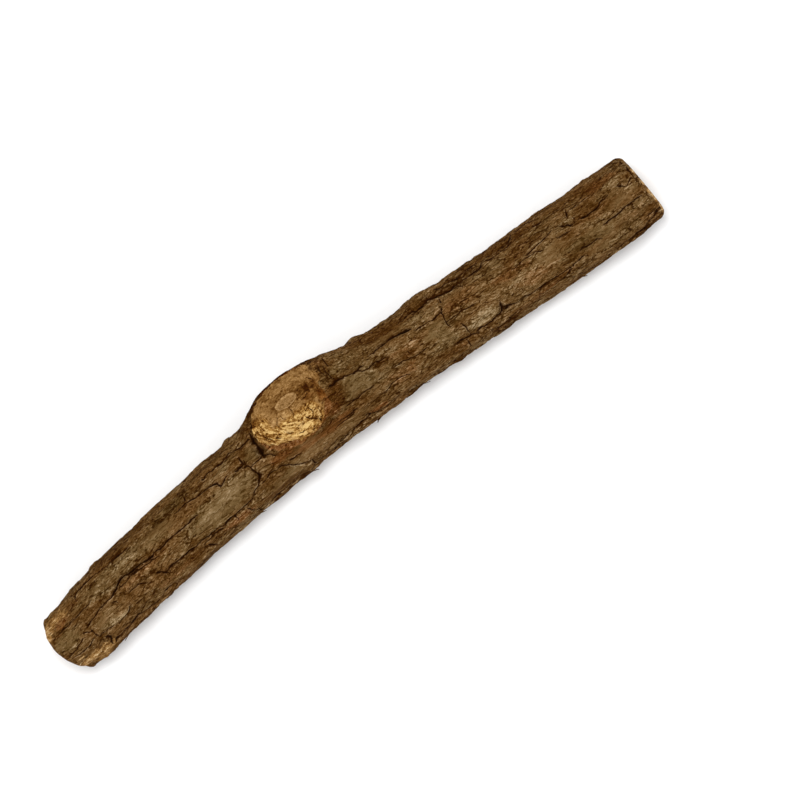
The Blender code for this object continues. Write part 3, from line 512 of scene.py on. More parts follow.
def furrow_relief(along, angle):
    """How far the furrows go down, and how far the nearest crack and highlight edge are, in their half
    widths.
    The crack's distance comes twice, the second time with its side, so that it is 0 on the crack itself."""
    warp = 0.24 * noise_over(along, angle, 1.5, 1.2, 40.0)
    warp = warp + 0.17 * noise_over(along, angle, 0.5, 0.5, 44.0)
    push = 0.20 * noise_over(along, angle, 0.9, 0.8, 48.0)
    swell = np.clip(1.0 + 1.2 * noise_over(along, angle, 1.9, 1.2, 52.0), 0.55, 1.55)
    relief = np.zeros(along.shape)
    groove = np.full(along.shape, FAR)
    sided = np.full(along.shape, FAR)
    highlight_edge = np.full(along.shape, FAR)

    def around_run(points):
        """What nearest_on_run gives for a run of points (place, angle), on the bark's own wavy grain."""
        run = [(x, RADIUS * a) for x, a in points]
        middle = np.mean([a for _, a in run])
        arc = RADIUS * (angle - 2 * math.pi * np.round((angle - middle / RADIUS) / (2 * math.pi)))
        return nearest_on_run(along + push, arc + warp, run)

    seen = [(*form, seen_from_above(points)) for *form, points in FURROWS]
    for width, depth, lift, points in seen + hidden_furrows():
        distance, side, reach, length = around_run(points)
        fade = tapered(reach, length, 0.7)
        trough = max(0.75 * width, LEAST_TROUGH)
        relief -= depth * fade * (0.45 + 0.55 * swell) * np.exp(-((distance / trough) ** 2))
        on_lifted = side * np.sign(lift) > 0
        relief += abs(lift) * fade * on_lifted * np.exp(-distance / 1.6) * smooth_step(0.0, width, distance)
        half_width = np.maximum(0.35 * width * swell, LEAST_CRACK) * (0.3 + 0.7 * fade)
        sided = np.where(distance / half_width < groove, side * distance / half_width, sided)
        groove = np.minimum(groove, distance / half_width)
    for points in HIGHLIGHT_EDGES:
        distance, _, reach, length = around_run(seen_from_above(points))
        fade = tapered(reach, length, 0.5)
        relief += 0.04 * fade * np.exp(-((distance / 0.2) ** 2))
        highlight_edge = np.minimum(highlight_edge, distance / (HIGHLIGHT_EDGE_WIDTH * (0.3 + 0.7 * fade)))
    return relief, groove, sided, highlight_edge


def patch(along, angle, place, across, half_length, half_width):
    """Distance from the centre of an oval patch on the upper side, 1 at its edge."""
    arc = RADIUS * np.radians(turn_from(angle, math.degrees(angle_of(place, across))))
    return np.hypot((along - place) / half_length, arc / half_width)


def depth_inside(x, y, outline):
    """How far each point lies inside a closed outline, below 0 where it lies outside."""
    distance, _, _, _ = nearest_on_run(x, y, outline + outline[:1])
    inside = np.zeros(x.shape, bool)
    for (x0, y0), (x1, y1) in zip(outline, outline[1:] + outline[:1]):
        if y0 != y1:
            inside ^= ((y0 > y) != (y1 > y)) & (x < (x1 - x0) * (y - y0) / (y1 - y0) + x0)
    return np.where(inside, distance, -distance)


def knotted(along, angle, bark):
    """Radius with the knot on it, and the marks of its cuts and of their wood."""
    grown = stub(along, angle, bark)
    face = cut_face(along, angle, NEW_CUT_ROUGHNESS * noise_over(along, angle, 1.7, 1.0, 60.0))
    depth = grown - face

    across = face * np.sin(angle)
    run = along - PITH_PLACE[0]
    fall = np.where(across > CUT_RIDGE, OLD_CUT_STRETCH, 1.0) * (across - CUT_RIDGE)
    from_pith = fall - OLD_CUT_STRETCH * (PITH_PLACE[1] - CUT_RIDGE)
    turned = np.arctan2(from_pith, run)
    ahead, aside = np.cos(turned), np.sin(turned)
    ring = np.hypot(run * 0.95, from_pith)
    ring = ring + 0.35 * noise_at(2.2 * ahead, 2.2 * aside, ring / 2.0)
    strands = 1.0 - 2.0 * np.abs(noise_at(3.4 * ahead, 3.4 * aside, ring / 0.42))
    shreds = noise_at(6.8 * ahead, 6.8 * aside, ring / 0.22)
    chips = noise_at(along / 0.9, across / 0.7, 0.0 * along)

    low = smooth_step(0.4, -1.1, fall) * smooth_step(4.4, 2.6, run)
    left = smooth_step(-3.6, -5.4, run) * smooth_step(5.0, 1.5, fall)
    torn = np.clip(np.maximum(low, left) + 0.25 * chips, 0.0, 1.0)
    tear = torn * (0.18 * strands + 0.10 * shreds + 0.18 * chips)
    smoothed = (1.0 - torn) * (0.020 * np.sin(2 * math.pi * ring / 0.8) + 0.03 * shreds + 0.03 * chips)
    oval = np.hypot(run / PITH_HALF[0], (across - PITH_PLACE[1]) / PITH_HALF[1])
    oval = oval + 0.10 * noise_at(2.0 * ahead, 2.0 * aside, 0.0 * ring + 5.0)
    rim = 0.10 * np.exp(-(((oval - 1.0) / 0.15) ** 2))
    carved = tear + smoothed + rim - 0.14 * smooth_step(1.0, 0.8, oval)

    crack = np.full(along.shape, FAR)
    crack_sided = np.full(along.shape, FAR)
    for half_width, points in WOOD_CRACKS:
        distance, side, place, length = nearest_on_run(along + 0.12 * chips, across + 0.10 * shreds, points)
        fade = tapered(place, length, 0.4)
        carved = carved - 3.0 * half_width * fade * np.exp(-((distance / (half_width + 0.10)) ** 2))
        away = distance / (half_width * (0.35 + 0.65 * fade))
        crack_sided = np.where(away < crack, side * away, crack_sided)
        crack = np.minimum(crack, away)

    facing = np.cos(angle - math.radians(CUT_FACING)) > 0.2
    cut_away = smaller(grown, face + smooth_step(0.0, 0.5, depth) * carved, CUT_EDGE_BLEND)
    seen = np.minimum(grown, face) * np.sin(angle)
    spared = 0.12 - 0.75 * smooth_step(52.5, 50.0, along) * smooth_step(3.5, 5.0, seen)
    bare = np.minimum(depth_inside(along, seen, WOOD_EDGE), 2.0 * (depth - spared))
    bare = bare * (1.0 - 0.92 * smooth_step(58.2, 59.6, along) * smooth_step(0.8, 2.4, across))
    bare = np.where(facing, bare + 0.16 * chips + 0.10 * shreds, -3.0)
    light, warm = np.zeros(along.shape), np.zeros(along.shape)
    for place, q, half_length, half_width, lighter, redder in WOOD_TONES:
        away = np.hypot((along - place) / half_length, (across - q) / half_width) + 0.25 * chips
        here = smooth_step(1.35, 0.35, away)
        light = light + lighter * here
        warm = warm + redder * here

    # The red inner bark shows round the wood but at the right and in two places at the upper left.
    right = smooth_step(59.0, 60.4, along)
    left_tip = smooth_step(47.4, 46.2, along) * smooth_step(3.6, 4.8, seen)
    upper_left = smooth_step(51.0, 49.6, along) * smooth_step(5.2, 6.0, seen)
    covered = np.maximum(np.maximum(right, left_tip), upper_left)
    marks = {
        "bare": np.clip(bare, -3.0, 3.0),
        "cut": np.where(facing, np.clip(depth, -3.0, 3.0) - 3.0 * covered, -3.0),
        "torn": torn, "oval": np.clip(oval, 0.0, OUTSIDE), "light": light, "warm": warm,
        "crack_sided": crack_sided, "around": (ahead, aside, ring),
    }
    return np.where(facing, cut_away, grown), marks


def surface_over(along, angle):
    """Radius of the stick over its side, and the marks that its finish reads."""

    def grained(length, width, offset):
        """Noise from -1 to 1 over these points."""
        return noise_over(along, angle, length, width, offset)

    radius = through(GIRTH, along) - TRIM
    for number, (length, width, height) in enumerate(RIBS):
        radius = radius + height * grained(length, width, 10.0 * number)
    for place, towards, half_length, half_width, height in SWELLINGS:
        turn = turn_from(angle, towards)
        radius = radius + height * np.exp(-(((along - place) / half_length) ** 2) - (turn / half_width) ** 2)
    ragged_along = along + 0.6 * grained(1.6, 0.8, 310.0)
    ragged_angle = angle + 0.05 * grained(1.3, 0.9, 320.0)
    plate = bark_plates(ragged_along, ragged_angle)
    rise, layers = flaking_layers(ragged_along, ragged_angle)
    fibre = 1.0 - 2.0 * np.abs(grained(2.2, 0.24, 340.0))
    grit = grained(0.42, 0.2, 360.0)
    ragged = 0.30 * grained(1.3, 0.7, 90.0) + 0.15 * grained(0.5, 0.3, 95.0)
    calm = np.zeros(along.shape)
    for oval in CALM_PATCHES:
        calm = np.maximum(calm, smooth_step(1.2, 0.7, patch(along, angle, *oval) + ragged))
    radius, marks = knotted(along, angle, radius + PLATE_STEP * plate + (1.0 - 0.5 * calm) * layers)
    on_bark = smooth_step(0.05, -0.05, marks["bare"])
    furrows, groove, sided, highlight_edge = furrow_relief(along, angle)
    radius = radius + furrows + on_bark * (1.0 - 0.6 * calm) * (FIBRE_HEIGHT * fibre + GRIT_HEIGHT * grit)

    peeled = np.full(along.shape, OUTSIDE)
    for *oval, depth, paler_below in PEELS:
        edge = patch(along, angle, *oval) + ragged
        radius = radius - depth * smooth_step(1.06, 0.94, edge)
        if paler_below:
            peeled = np.minimum(peeled, edge)
    # The bark is made darker towards the +Y side: painted shade for how the light falls across the stick.
    tone = 0.16 * plate + 0.05 * rise - 0.07 * smooth_step(0.1, 0.9, np.sin(angle))
    grey, red = 0.35 + 0.35 * plate, 0.12 - 0.20 * plate
    for *oval, lighter, greyer, redder in BARK_TONES:
        here = smooth_step(1.3, 0.5, patch(along, angle, *oval) + ragged)
        tone = tone + lighter * here
        grey = grey + greyer * here
        red = red + redder * here

    # The bark ends raggedly just before the sawn face, with a gap there in places and pale wood beyond.
    wander = along - RIGHT_BARK_END + 0.6 * ragged + 0.25 * grained(ROUND_ONLY, 2.2, 130.0)
    opened = smooth_step(-0.35, 0.25, grained(ROUND_ONLY, 1.3, 140.0))
    radius = radius - BARK_END_DEPTH * opened * np.exp(-((wander / BARK_END_WIDTH) ** 2))
    blotch = smooth_step(-0.3, 0.3, grained(ROUND_ONLY, 1.0, 150.0) - 0.25 * np.sin(angle))
    tone = tone + (0.10 + 0.26 * blotch) * smooth_step(0.22, 0.32, wander)
    beyond = (0.40 + 0.60 * blotch) * smooth_step(0.20, 0.38, wander + 0.3 * ragged)
    peeled = np.minimum(peeled, 1.55 - beyond)
    to_left = np.clip(1.0 - along / LEFT_ROUND, 0.0, 1.0)
    to_right = np.clip(1.0 - (LENGTH - along) / RIGHT_ROUND, 0.0, 1.0)
    radius = radius - LEFT_ROUND * (1.0 - np.sqrt(1.0 - 0.9 * to_left**2))
    radius = radius - RIGHT_ROUND * (1.0 - np.sqrt(1.0 - 0.85 * to_right**2))
    end_gap = wander / (0.03 + 0.10 * opened)
    end_gap = end_gap + 3.0 * (1.0 - opened) * np.sign(end_gap)
    for gap in (end_gap, np.where(on_bark < 0.5, marks.pop("crack_sided"), FAR)):
        sided = np.where(np.abs(gap) < groove, gap, sided)
        groove = np.minimum(groove, np.abs(gap))
    marks.update({
        "groove": groove, "sided": np.clip(sided, -FAR, FAR), "highlight_edge": highlight_edge, "rise": rise, "calm": calm,
        "tone": tone, "grey": grey, "red": red, "peeled": peeled,
    })
    return radius, marks


def shape_points(along, angle, share):
    """Points of the stick and their marks: share is 1 on its side and falls to 0 at the middle of an end."""
    outer, marks = surface_over(along, angle)
    radius = outer * share
    across, up = radius * np.sin(angle), radius * np.cos(angle)
    left_face = LEFT_FACE + LEFT_SLANT * (LEFT_TOP - up) + LEFT_BULGE * (across - LEFT_PEAK) ** 2
    left_face = left_face + LEFT_UNDERCUT * np.maximum(1.0 - up, 0.0) ** 2
    right_face = RIGHT_FACE - RIGHT_SKEW * across
    in_end = smooth_step(1.0, 0.97, share)
    splinters = noise_at(across / 0.5, up / 0.5, 0.0 * up)
    splinters = splinters + 0.5 * noise_at(across / 0.2, up / 0.2, 0.0 * up + 3.0)
    saw = np.sin((0.8 * across + 0.6 * up + 0.3 * splinters) / 0.13)
    pith = END_PITH_DEPTH * smooth_step(END_PITH_RADIUS, 0.6 * END_PITH_RADIUS, radius)
    check = np.full(outer.shape, FAR)
    for towards, start, reach in END_CHECKS:
        off = np.abs(radius * np.sin(angle - np.radians(towards + 7.0 * np.sin(2.0 * radius))))
        ahead = np.cos(angle - math.radians(towards)) > 0
        fade = smooth_step(reach, 0.5 * reach, radius) * smooth_step(start - 0.6, start, radius)
        check = np.where(ahead, np.minimum(check, off / (0.004 + 0.055 * fade)), check)
    opened = smooth_step(1.2, 0.3, check)
    left_fit = smooth_step(END_REACH, 0.0, along)
    right_fit = smooth_step(LENGTH - END_REACH, LENGTH, along)
    x = along + left_fit * left_face + right_fit * (right_face - LENGTH)
    left_relief = pith + in_end * (0.14 * splinters + 0.25 * opened)
    right_relief = -pith - in_end * (0.02 * saw + 0.03 * splinters + 0.25 * opened)
    on_left = along < LENGTH / 2
    x = x + np.where(share < 1.0, np.where(on_left, left_relief, right_relief), 0.0)
    dip = DIP_HEIGHT * (0.5 - 0.5 * np.cos(2 * math.pi * (along - DIP_FIRST) / DIP_SPACING))
    level = through(GIRTH, along) - RADIUS
    points = np.stack([x - LENGTH / 2, across + through(BOW, along), up + dip + level], axis=-1)

    ended = share < 0.999
    in_ends = {
        "bare": outer - BARK_THICKNESS + 0.15 * splinters - radius, "cut": 1.0,
        "torn": np.where(on_left, 0.45, 0.15), "oval": radius / END_PITH_RADIUS, "light": 0.10,
        "warm": 0.15, "groove": check, "sided": check, "peeled": OUTSIDE,
    }
    for mark, value in in_ends.items():
        marks[mark] = np.where(ended, value, marks[mark])
    by_end = (np.cos(angle), np.sin(angle), radius)
    marks["around"] = tuple(np.where(ended, end, side) for end, side in zip(by_end, marks["around"]))
    kept = np.maximum(radius, 0.2)
    marks["grain"] = (along + np.where(ended, 0.4 * radius, 0.0), kept * np.sin(angle), kept * np.cos(angle))
    return points, marks


def rows_along():
    """Places of the rows along the stick, closer together where its detail is finer."""
    rows = [np.linspace(a, b, max(2, round((b - a) / step)), endpoint=False) for a, b, step in ROW_STRETCHES]
    return np.append(np.concatenate(rows), LENGTH)


def store(mesh, mark, values):
    """Keeps a mark on a mesh: a number for each vertex, or three."""
    kind, key = ("FLOAT", "value") if values.ndim == 1 else ("FLOAT_VECTOR", "vector")
    mesh.attributes.new(mark, kind, "POINT").data.foreach_set(key, values.ravel())


def drawn_out_sphere(name):
    """The stick's mesh, its points and their marks: a sphere's net, whose first and last rings are laid
    in the cut ends."""
    rows = rows_along()
    inner = np.array(END_RINGS[1:])
    along = np.concatenate([np.zeros(len(inner)), rows, np.full(len(inner), LENGTH)])
    share = np.concatenate([inner, np.ones(len(rows)), inner[::-1]])
    column = np.arange(COLUMNS) * 2 * math.pi / COLUMNS
    column = column - UPPER_SHARE * np.sin(column)
    ring_along, ring_angle = np.meshgrid(along, column, indexing="ij")
    ring_share = np.repeat(share[:, None], COLUMNS, axis=1)
    points, marks = shape_points(ring_along, ring_angle, ring_share)
    ends, end_marks = shape_points(np.array([0.0, LENGTH]), np.zeros(2), np.zeros(2))

    bpy.ops.object.select_all(action="DESELECT")
    rings = len(along) + 1
    bpy.ops.mesh.primitive_uv_sphere_add(segments=COLUMNS, ring_count=rings, radius=1.0)
    stick = bpy.context.object
    stick.name = name
    start = np.empty(len(stick.data.vertices) * 3, np.float32)
    stick.data.vertices.foreach_get("co", start)
    x, y, z = start.reshape(-1, 3).astype(float).T
    ring = np.rint(np.arctan2(np.hypot(x, y), -z) / math.pi * rings).astype(int)
    place = np.rint(np.arctan2(y, x) / (2 * math.pi) * COLUMNS).astype(int) % COLUMNS
    inside = np.clip(ring - 1, 0, len(along) - 1)

    def per_vertex(over, at_ends):
        """A value for each vertex, from the net's own values and those of the two end points."""
        values = over[inside, place]
        values[ring == 0] = at_ends[0]
        values[ring == rings] = at_ends[1]
        return values

    stored = {}
    for mark, value in marks.items():
        if isinstance(value, tuple):
            kept = np.stack([per_vertex(a, b) for a, b in zip(value, end_marks[mark])], axis=-1)
        else:
            kept = per_vertex(value, end_marks[mark])
        stored[mark] = kept.astype(np.float32)
        store(stick.data, mark, stored[mark])
    return stick, per_vertex(points, ends), stored


stick, points, stored = drawn_out_sphere("vine_stick")

# It lies where its solid lies, and its low points are worn flat on the surface.
low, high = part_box("silver_vine_stick")
anchor = (points.max(axis=0) + points.min(axis=0)) / 2
anchor[2] = points[:, 2].max()
shift = np.array([(low.x + high.x) / 2, (low.y + high.y) / 2, high.z]) / MM - anchor
points += shift
points[:, 2] = np.maximum(points[:, 2], 0.0)
stick.data.vertices.foreach_set("co", (points * MM).astype(np.float32).ravel())
bpy.ops.object.mode_set(mode="EDIT")
bpy.ops.mesh.select_all(action="SELECT")
bpy.ops.mesh.normals_make_consistent(inside=False)
bpy.ops.object.mode_set(mode="OBJECT")
bpy.ops.object.shade_smooth()

# Colours are given as the photograph shows them, 0 to 255, in light that is this much stronger than a
# white sheet needs to look white.
LIGHT = 1.25


def paint(red, green, blue):
    """The colour of a surface that looks like this in the photograph's light."""
    parts = [value / 255.0 for value in (red, green, blue)]
    linear = [p / 12.92 if p <= 0.04045 else ((p + 0.055) / 1.055) ** 2.4 for p in parts]
    return tuple(value / LIGHT for value in linear) + (1.0,)


class Finish:
    """A material in the making. Each call adds one node and gives back its output."""

    def __init__(self, name):
        self.material = bpy.data.materials.new(name)
        self.material.use_nodes = True
        self.nodes = self.material.node_tree.nodes
        self.links = self.material.node_tree.links
        self.shader = self.nodes["Principled BSDF"]

    def put(self, socket, value):
        """Links an output to a socket, or sets it to a plain value."""
        if isinstance(value, bpy.types.NodeSocket):
            self.links.new(value, socket)
        else:
            socket.default_value = value

    def mark(self, name):
        """A number stored on the mesh."""
        node = self.nodes.new("ShaderNodeAttribute")
        node.attribute_name = name
        return node.outputs["Fac"]

    def drawn(self, name, scale):
        """Coordinates stored on the mesh, scaled by a different amount each way to draw a pattern out."""
        stored = self.nodes.new("ShaderNodeAttribute")
        stored.attribute_name = name
        node = self.nodes.new("ShaderNodeMapping")
        self.links.new(stored.outputs["Vector"], node.inputs["Vector"])
        node.inputs["Scale"].default_value = scale
        return node.outputs["Vector"]

    def cloud(self, vector, detail=4.0, roughness=0.6, distortion=0.0):
        """Noise from 0 to 1."""
        node = self.nodes.new("ShaderNodeTexNoise")
        self.links.new(vector, node.inputs["Vector"])
        node.inputs["Scale"].default_value = 1.0
        node.inputs["Detail"].default_value = detail
        node.inputs["Roughness"].default_value = roughness
        node.inputs["Distortion"].default_value = distortion
        return node.outputs["Fac"]

    def cells(self, vector, bent_by, bend):
        """Distance to the nearest border between the cells of a pattern that noise bends."""
        mixed = self.nodes.new("ShaderNodeVectorMath")
        mixed.operation = "MULTIPLY_ADD"
        self.links.new(bent_by, mixed.inputs[0])
        mixed.inputs[1].default_value = (bend, bend, bend)
        self.links.new(vector, mixed.inputs[2])
        node = self.nodes.new("ShaderNodeTexVoronoi")
        node.feature = "DISTANCE_TO_EDGE"
        self.links.new(mixed.outputs["Vector"], node.inputs["Vector"])
        node.inputs["Scale"].default_value = 1.0
        return node.outputs["Distance"]

    def spread(self, value, low, high, to_low=0.0, to_high=1.0):
        """A value's range low to high stretched to another range, and held at its ends."""
        node = self.nodes.new("ShaderNodeMapRange")
        node.interpolation_type = "SMOOTHSTEP"
        self.put(node.inputs["Value"], value)
        for name, number in (("From Min", low), ("From Max", high), ("To Min", to_low), ("To Max", to_high)):
            node.inputs[name].default_value = number
        return node.outputs["Result"]

    def sum(self, kind, first, second=0.0):
        """One step of arithmetic on two values."""
        node = self.nodes.new("ShaderNodeMath")
        node.operation = kind
        self.put(node.inputs[0], first)
        self.put(node.inputs[1], second)
        return node.outputs["Value"]

    def times(self, first, second):
        """Two values multiplied."""
        return self.sum("MULTIPLY", first, second)

    def total(self, start, *parts):
        """A value plus weighted ones, given as (value, weight) or, where it isn't measured from 0.5, the
        middle of its own range, as (value, weight, middle)."""
        result = start
        for value, weight, *middle in parts:
            part = self.times(self.sum("SUBTRACT", value, middle[0] if middle else 0.5), weight)
            result = self.sum("ADD", part, result)
        return result

    def blend(self, share, first, second):
        """Two colours mixed by a share from 0, all the first, to 1, all the second."""
        node = self.nodes.new("ShaderNodeMix")
        node.data_type = "RGBA"
        colours = [s for s in node.inputs if s.type == "RGBA"]
        self.put(node.inputs[0], share)
        self.put(colours[0], first)
        self.put(colours[1], second)
        return next(s for s in node.outputs if s.type == "RGBA")

    def ramp(self, value, colours):
        """A colour for each value from 0 to 1, through evenly spaced colours of the photograph."""
        node = self.nodes.new("ShaderNodeValToRGB")
        self.links.new(value, node.inputs["Fac"])
        stops = node.color_ramp.elements
        for _ in range(len(colours) - 2):
            stops.new(0.5)
        for number, colour in enumerate(colours):
            stops[number].position = number / (len(colours) - 1)
            stops[number].color = paint(*colour)
        return node.outputs["Color"]

    def raised(self, height, distance, normal=None):
        """A fine relief laid over the surface, that high in metres."""
        node = self.nodes.new("ShaderNodeBump")
        node.inputs["Distance"].default_value = distance
        self.links.new(height, node.inputs["Height"])
        if normal is not None:
            self.links.new(normal, node.inputs["Normal"])
        return node.outputs["Normal"]


# Colours from the darkest, which the painted shade of the cracks and edges reaches, up to the palest
# fibres: brown bark, its grey skin, its red inner side, and the wood.
BROWN_BARK = ((46, 17, 0), (73, 43, 6), (102, 70, 34), (130, 97, 59), (174, 142, 101))
GREY_BARK = ((44, 20, 0), (70, 46, 12), (103, 78, 43), (131, 105, 69), (177, 152, 115))
RED_BARK = ((50, 16, 0), (82, 42, 5), (115, 70, 31), (147, 100, 58), (190, 147, 106))
WOOD = ((50, 18, 0), (99, 57, 11), (148, 103, 47), (193, 148, 81), (232, 194, 126))
WARM_WOOD = ((48, 14, 0), (94, 50, 11), (140, 88, 39), (180, 128, 68), (219, 172, 112))
OLD_WOOD = ((50, 20, 0), (100, 67, 26), (146, 111, 68), (187, 149, 102), (224, 190, 142))
BARE_WOOD = ((60, 32, 8), (108, 72, 32), (152, 112, 62), (193, 153, 100), (228, 199, 152))

# Heights of the two bumps, in metres.
FINE_BUMP = 0.00014
STREAK_BUMP = 0.00020


def stick_finish():
    """Bark and bare wood in one finish, told apart by the marks on the mesh."""
    f = Finish("bark_and_wood")

    def grain(along, across, **kind):
        """Noise drawn out along the stick, finer for greater numbers."""
        return f.cloud(f.drawn("grain", (along, across, across)), **kind)

    def growth(round_it, outwards, **kind):
        """Noise that follows the rings and rays of the wood, finer for greater numbers."""
        return f.cloud(f.drawn("around", (round_it, round_it, outwards)), **kind)

    broad = grain(0.20, 0.55, detail=3.0)
    weave = grain(0.50, 1.5, detail=5.0, roughness=0.62, distortion=0.4)
    streak = grain(0.95, 2.8, roughness=0.65)
    fine = grain(2.3, 4.8, detail=3.0, roughness=0.7)
    speck = grain(1.7, 4.0, detail=2.0)
    edges = grain(0.40, 1.15, detail=6.0, roughness=0.58)
    crumb = grain(1.9, 2.4, detail=5.0, roughness=0.75)

    # Lines where a layer or a plate of the bark ends: the dark foot of each layer and the dark lines of the
    # splits and scales are painted shade under the edges, and the pale lips beside them are painted
    # highlights.
    layer_phase = f.sum("FRACT", f.total(f.mark("rise"), (streak, 0.6), (fine, 0.3)))
    layer_shade = f.times(f.spread(layer_phase, 0.72, 0.82), f.spread(layer_phase, 0.98, 0.88))
    layer_highlight = f.spread(layer_phase, 0.14, 0.02)
    split = f.sum("FRACT", f.total(0.0, (edges, 7.0, 0.0), (fine, 0.3)))
    lined = f.spread(f.mark("calm"), 0.0, 1.0, 1.0, 0.2)
    rough_bark = f.spread(f.mark("calm"), 0.0, 1.0, 1.0, 0.45)
    shown = f.times(f.spread(weave, 0.40, 0.56), lined)
    split_shade = f.times(f.spread(split, 0.12, 0.05), shown)
    split_highlight = f.times(f.spread(split, 0.80, 0.96), shown)
    scale = f.total(f.cells(f.drawn("grain", (0.34, 0.95, 0.95)), weave, 0.9), (fine, 0.10))
    scale_shade = f.times(f.spread(scale, 0.09, 0.04), f.times(f.spread(broad, 0.47, 0.56), lined))

    # Cracks, jagged in their middle, with a pale lip, a painted highlight, on the side that the light meets.
    jagged = f.total(f.mark("sided"), (crumb, 3.0))
    crack = f.sum("MAXIMUM", f.sum("ABSOLUTE", jagged), f.sum("SUBTRACT", f.mark("groove"), 2.2))
    crack = f.total(crack, (fine, 1.2), (streak, 0.8))
    lower_side = f.times(f.spread(f.mark("sided"), -0.9, -1.5), f.spread(f.mark("sided"), -4.0, -2.4))
    crack_highlight = f.times(lower_side, f.spread(streak, 0.44, 0.58))

    # The bark: one tone for all, which takes in the painted shade and highlights of the edges and cracks, and
    # brown, grey or red by its own marks.
    threads = f.times(rough_bark, f.total(0.0, (streak, 0.80), (fine, 1.5)))
    tone = f.total(
        0.515, (f.mark("tone"), 1.0, 0.0), (broad, 0.50), (weave, 0.72), (threads, 1.0, 0.0),
        (layer_shade, -0.26, 0.0), (layer_highlight, 0.12, 0.0), (split_shade, -0.44, 0.0), (split_highlight, 0.13, 0.0),
        (scale_shade, -0.38, 0.0), (f.spread(speck, 0.64, 0.71), 0.20, 0.0), (crack_highlight, 0.22, 0.0),
    )
    grey = f.total(f.mark("grey"), (broad, 1.6), (weave, 0.9))
    red = f.total(f.mark("red"), (weave, 1.2), (streak, 1.0))
    # The painted highlight along the raised edges of flakes that catch the light.
    highlight_edge = f.total(f.mark("highlight_edge"), (fine, 2.0), (weave, -2.0))
    tone = f.sum("ADD", tone, f.spread(highlight_edge, 1.6, 0.5, 0.0, 0.26))
    bark = f.blend(f.spread(grey, 0.0, 1.0), f.ramp(tone, BROWN_BARK), f.ramp(tone, GREY_BARK))
    bark = f.blend(f.spread(red, 0.1, 1.1, 0.0, 0.8), bark, f.ramp(tone, RED_BARK))
    inner = f.spread(f.total(f.mark("cut"), (streak, 0.5), (fine, 0.4)), 0.02, 0.10)
    inner_tone = f.sum("ADD", tone, 0.08)
    bark = f.blend(f.times(inner, 0.9), bark, f.ramp(inner_tone, RED_BARK))
    peeled = f.spread(f.total(f.mark("peeled"), (streak, 1.4), (fine, 0.8)), 1.06, 0.94)
    peeled = f.times(peeled, f.spread(f.mark("red"), 0.4, 1.0, 1.0, 0.25))
    bare_tone = f.total(
        0.50, (f.mark("tone"), 0.7, 0.0), (weave, 1.1), (streak, 1.6), (fine, 1.6), (split_shade, -0.3, 0.0),
    )
    bark = f.blend(peeled, bark, f.ramp(bare_tone, BARE_WOOD))

    # The wood of the knot and the ends: torn or even, with its pith, and weathered or warm in places.
    strand = growth(3.4, 2.4, detail=3.0)
    thread = growth(8.0, 5.0, detail=3.0, roughness=0.7)
    ray = growth(6.0, 0.8, detail=3.0)
    ring = growth(0.35, 2.1, detail=1.0, roughness=0.5)
    fleck = f.spread(grain(3.0, 3.4, detail=3.0, distortion=1.2), 0.55, 0.66)
    rough = f.total(0.0, (strand, 2.0), (thread, 2.0), (crumb, 2.0), (fleck, -0.40, 0.1))
    even = f.total(0.0, (strand, 0.30), (thread, 0.50), (crumb, 0.8), (fine, 0.5), (ray, 0.45), (ring, 0.16))
    torn = f.mark("torn")
    relief = f.sum("ADD", f.times(rough, torn), f.times(even, f.sum("SUBTRACT", 1.0, torn)))
    oval = f.mark("oval")
    rim = f.times(f.spread(oval, 0.76, 0.93), f.spread(oval, 1.08, 0.99))
    halo = f.times(f.spread(oval, 1.00, 1.08), f.spread(oval, 1.5, 1.15))
    pith = f.times(f.spread(oval, 0.93, 0.80), f.total(0.07, (f.spread(ray, 0.50, 0.60), -0.18, 0.0)))
    # The light mark holds the wood's own patches and painted light: its lower wood lighter, its upper wood
    # darker.
    wood_tone = f.total(
        0.44, (f.mark("light"), 1.15, 0.0), (rim, 0.22, 0.0), (halo, -0.14, 0.0), (pith, 1.0, 0.0),
        (f.spread(f.mark("bare"), 0.24, 0.06), 0.05, 0.0), (relief, 1.2, 0.0),
    )
    warm = f.total(f.mark("warm"), (crumb, 1.4))
    weathered = f.sum("MAXIMUM", f.spread(torn, 0.5, 0.0, 0.0, 0.6), f.spread(oval, 1.06, 1.0, 0.0, 0.8))
    wood = f.blend(weathered, f.ramp(wood_tone, WOOD), f.ramp(wood_tone, OLD_WOOD))
    wood = f.blend(f.spread(warm, 0.1, 1.0), wood, f.ramp(wood_tone, WARM_WOOD))

    bare = f.spread(f.total(f.mark("bare"), (fine, 0.5)), -0.03, 0.05)
    surface = f.blend(bare, bark, wood)
    # Painted shade in the cracks: dark brown beside them and near black within, darkest in their middle.
    crack_edge_shade = f.blend(bare, paint(64, 34, 5), paint(104, 58, 14))
    crack_wall_shade = f.blend(bare, paint(44, 16, 0), paint(66, 30, 2))
    crack_shade = f.blend(f.spread(crack, 0.75, 0.1), crack_wall_shade, paint(22, 8, 0))
    surface = f.blend(f.spread(crack, 2.4, 1.1, 0.0, 0.45), surface, crack_edge_shade)
    surface = f.blend(f.spread(crack, 1.25, 0.85, 0.0, 0.96), surface, crack_shade)
    f.put(f.shader.inputs["Base Color"], surface)

    f.put(f.shader.inputs["Roughness"], f.spread(fine, 0.3, 0.7, 0.80, 0.95))
    f.shader.inputs["Specular IOR Level"].default_value = 0.02
    normal = f.raised(streak, STREAK_BUMP, f.raised(fine, FINE_BUMP))
    f.put(f.shader.inputs["Normal"], normal)
    return f.material


def finished(piece):
    """Gives a piece of the stick its finish, and its place in the object."""
    piece.data.materials.append(finish)
    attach(piece, "root")


finish = stick_finish()
finished(stick)
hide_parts("silver_vine_stick")

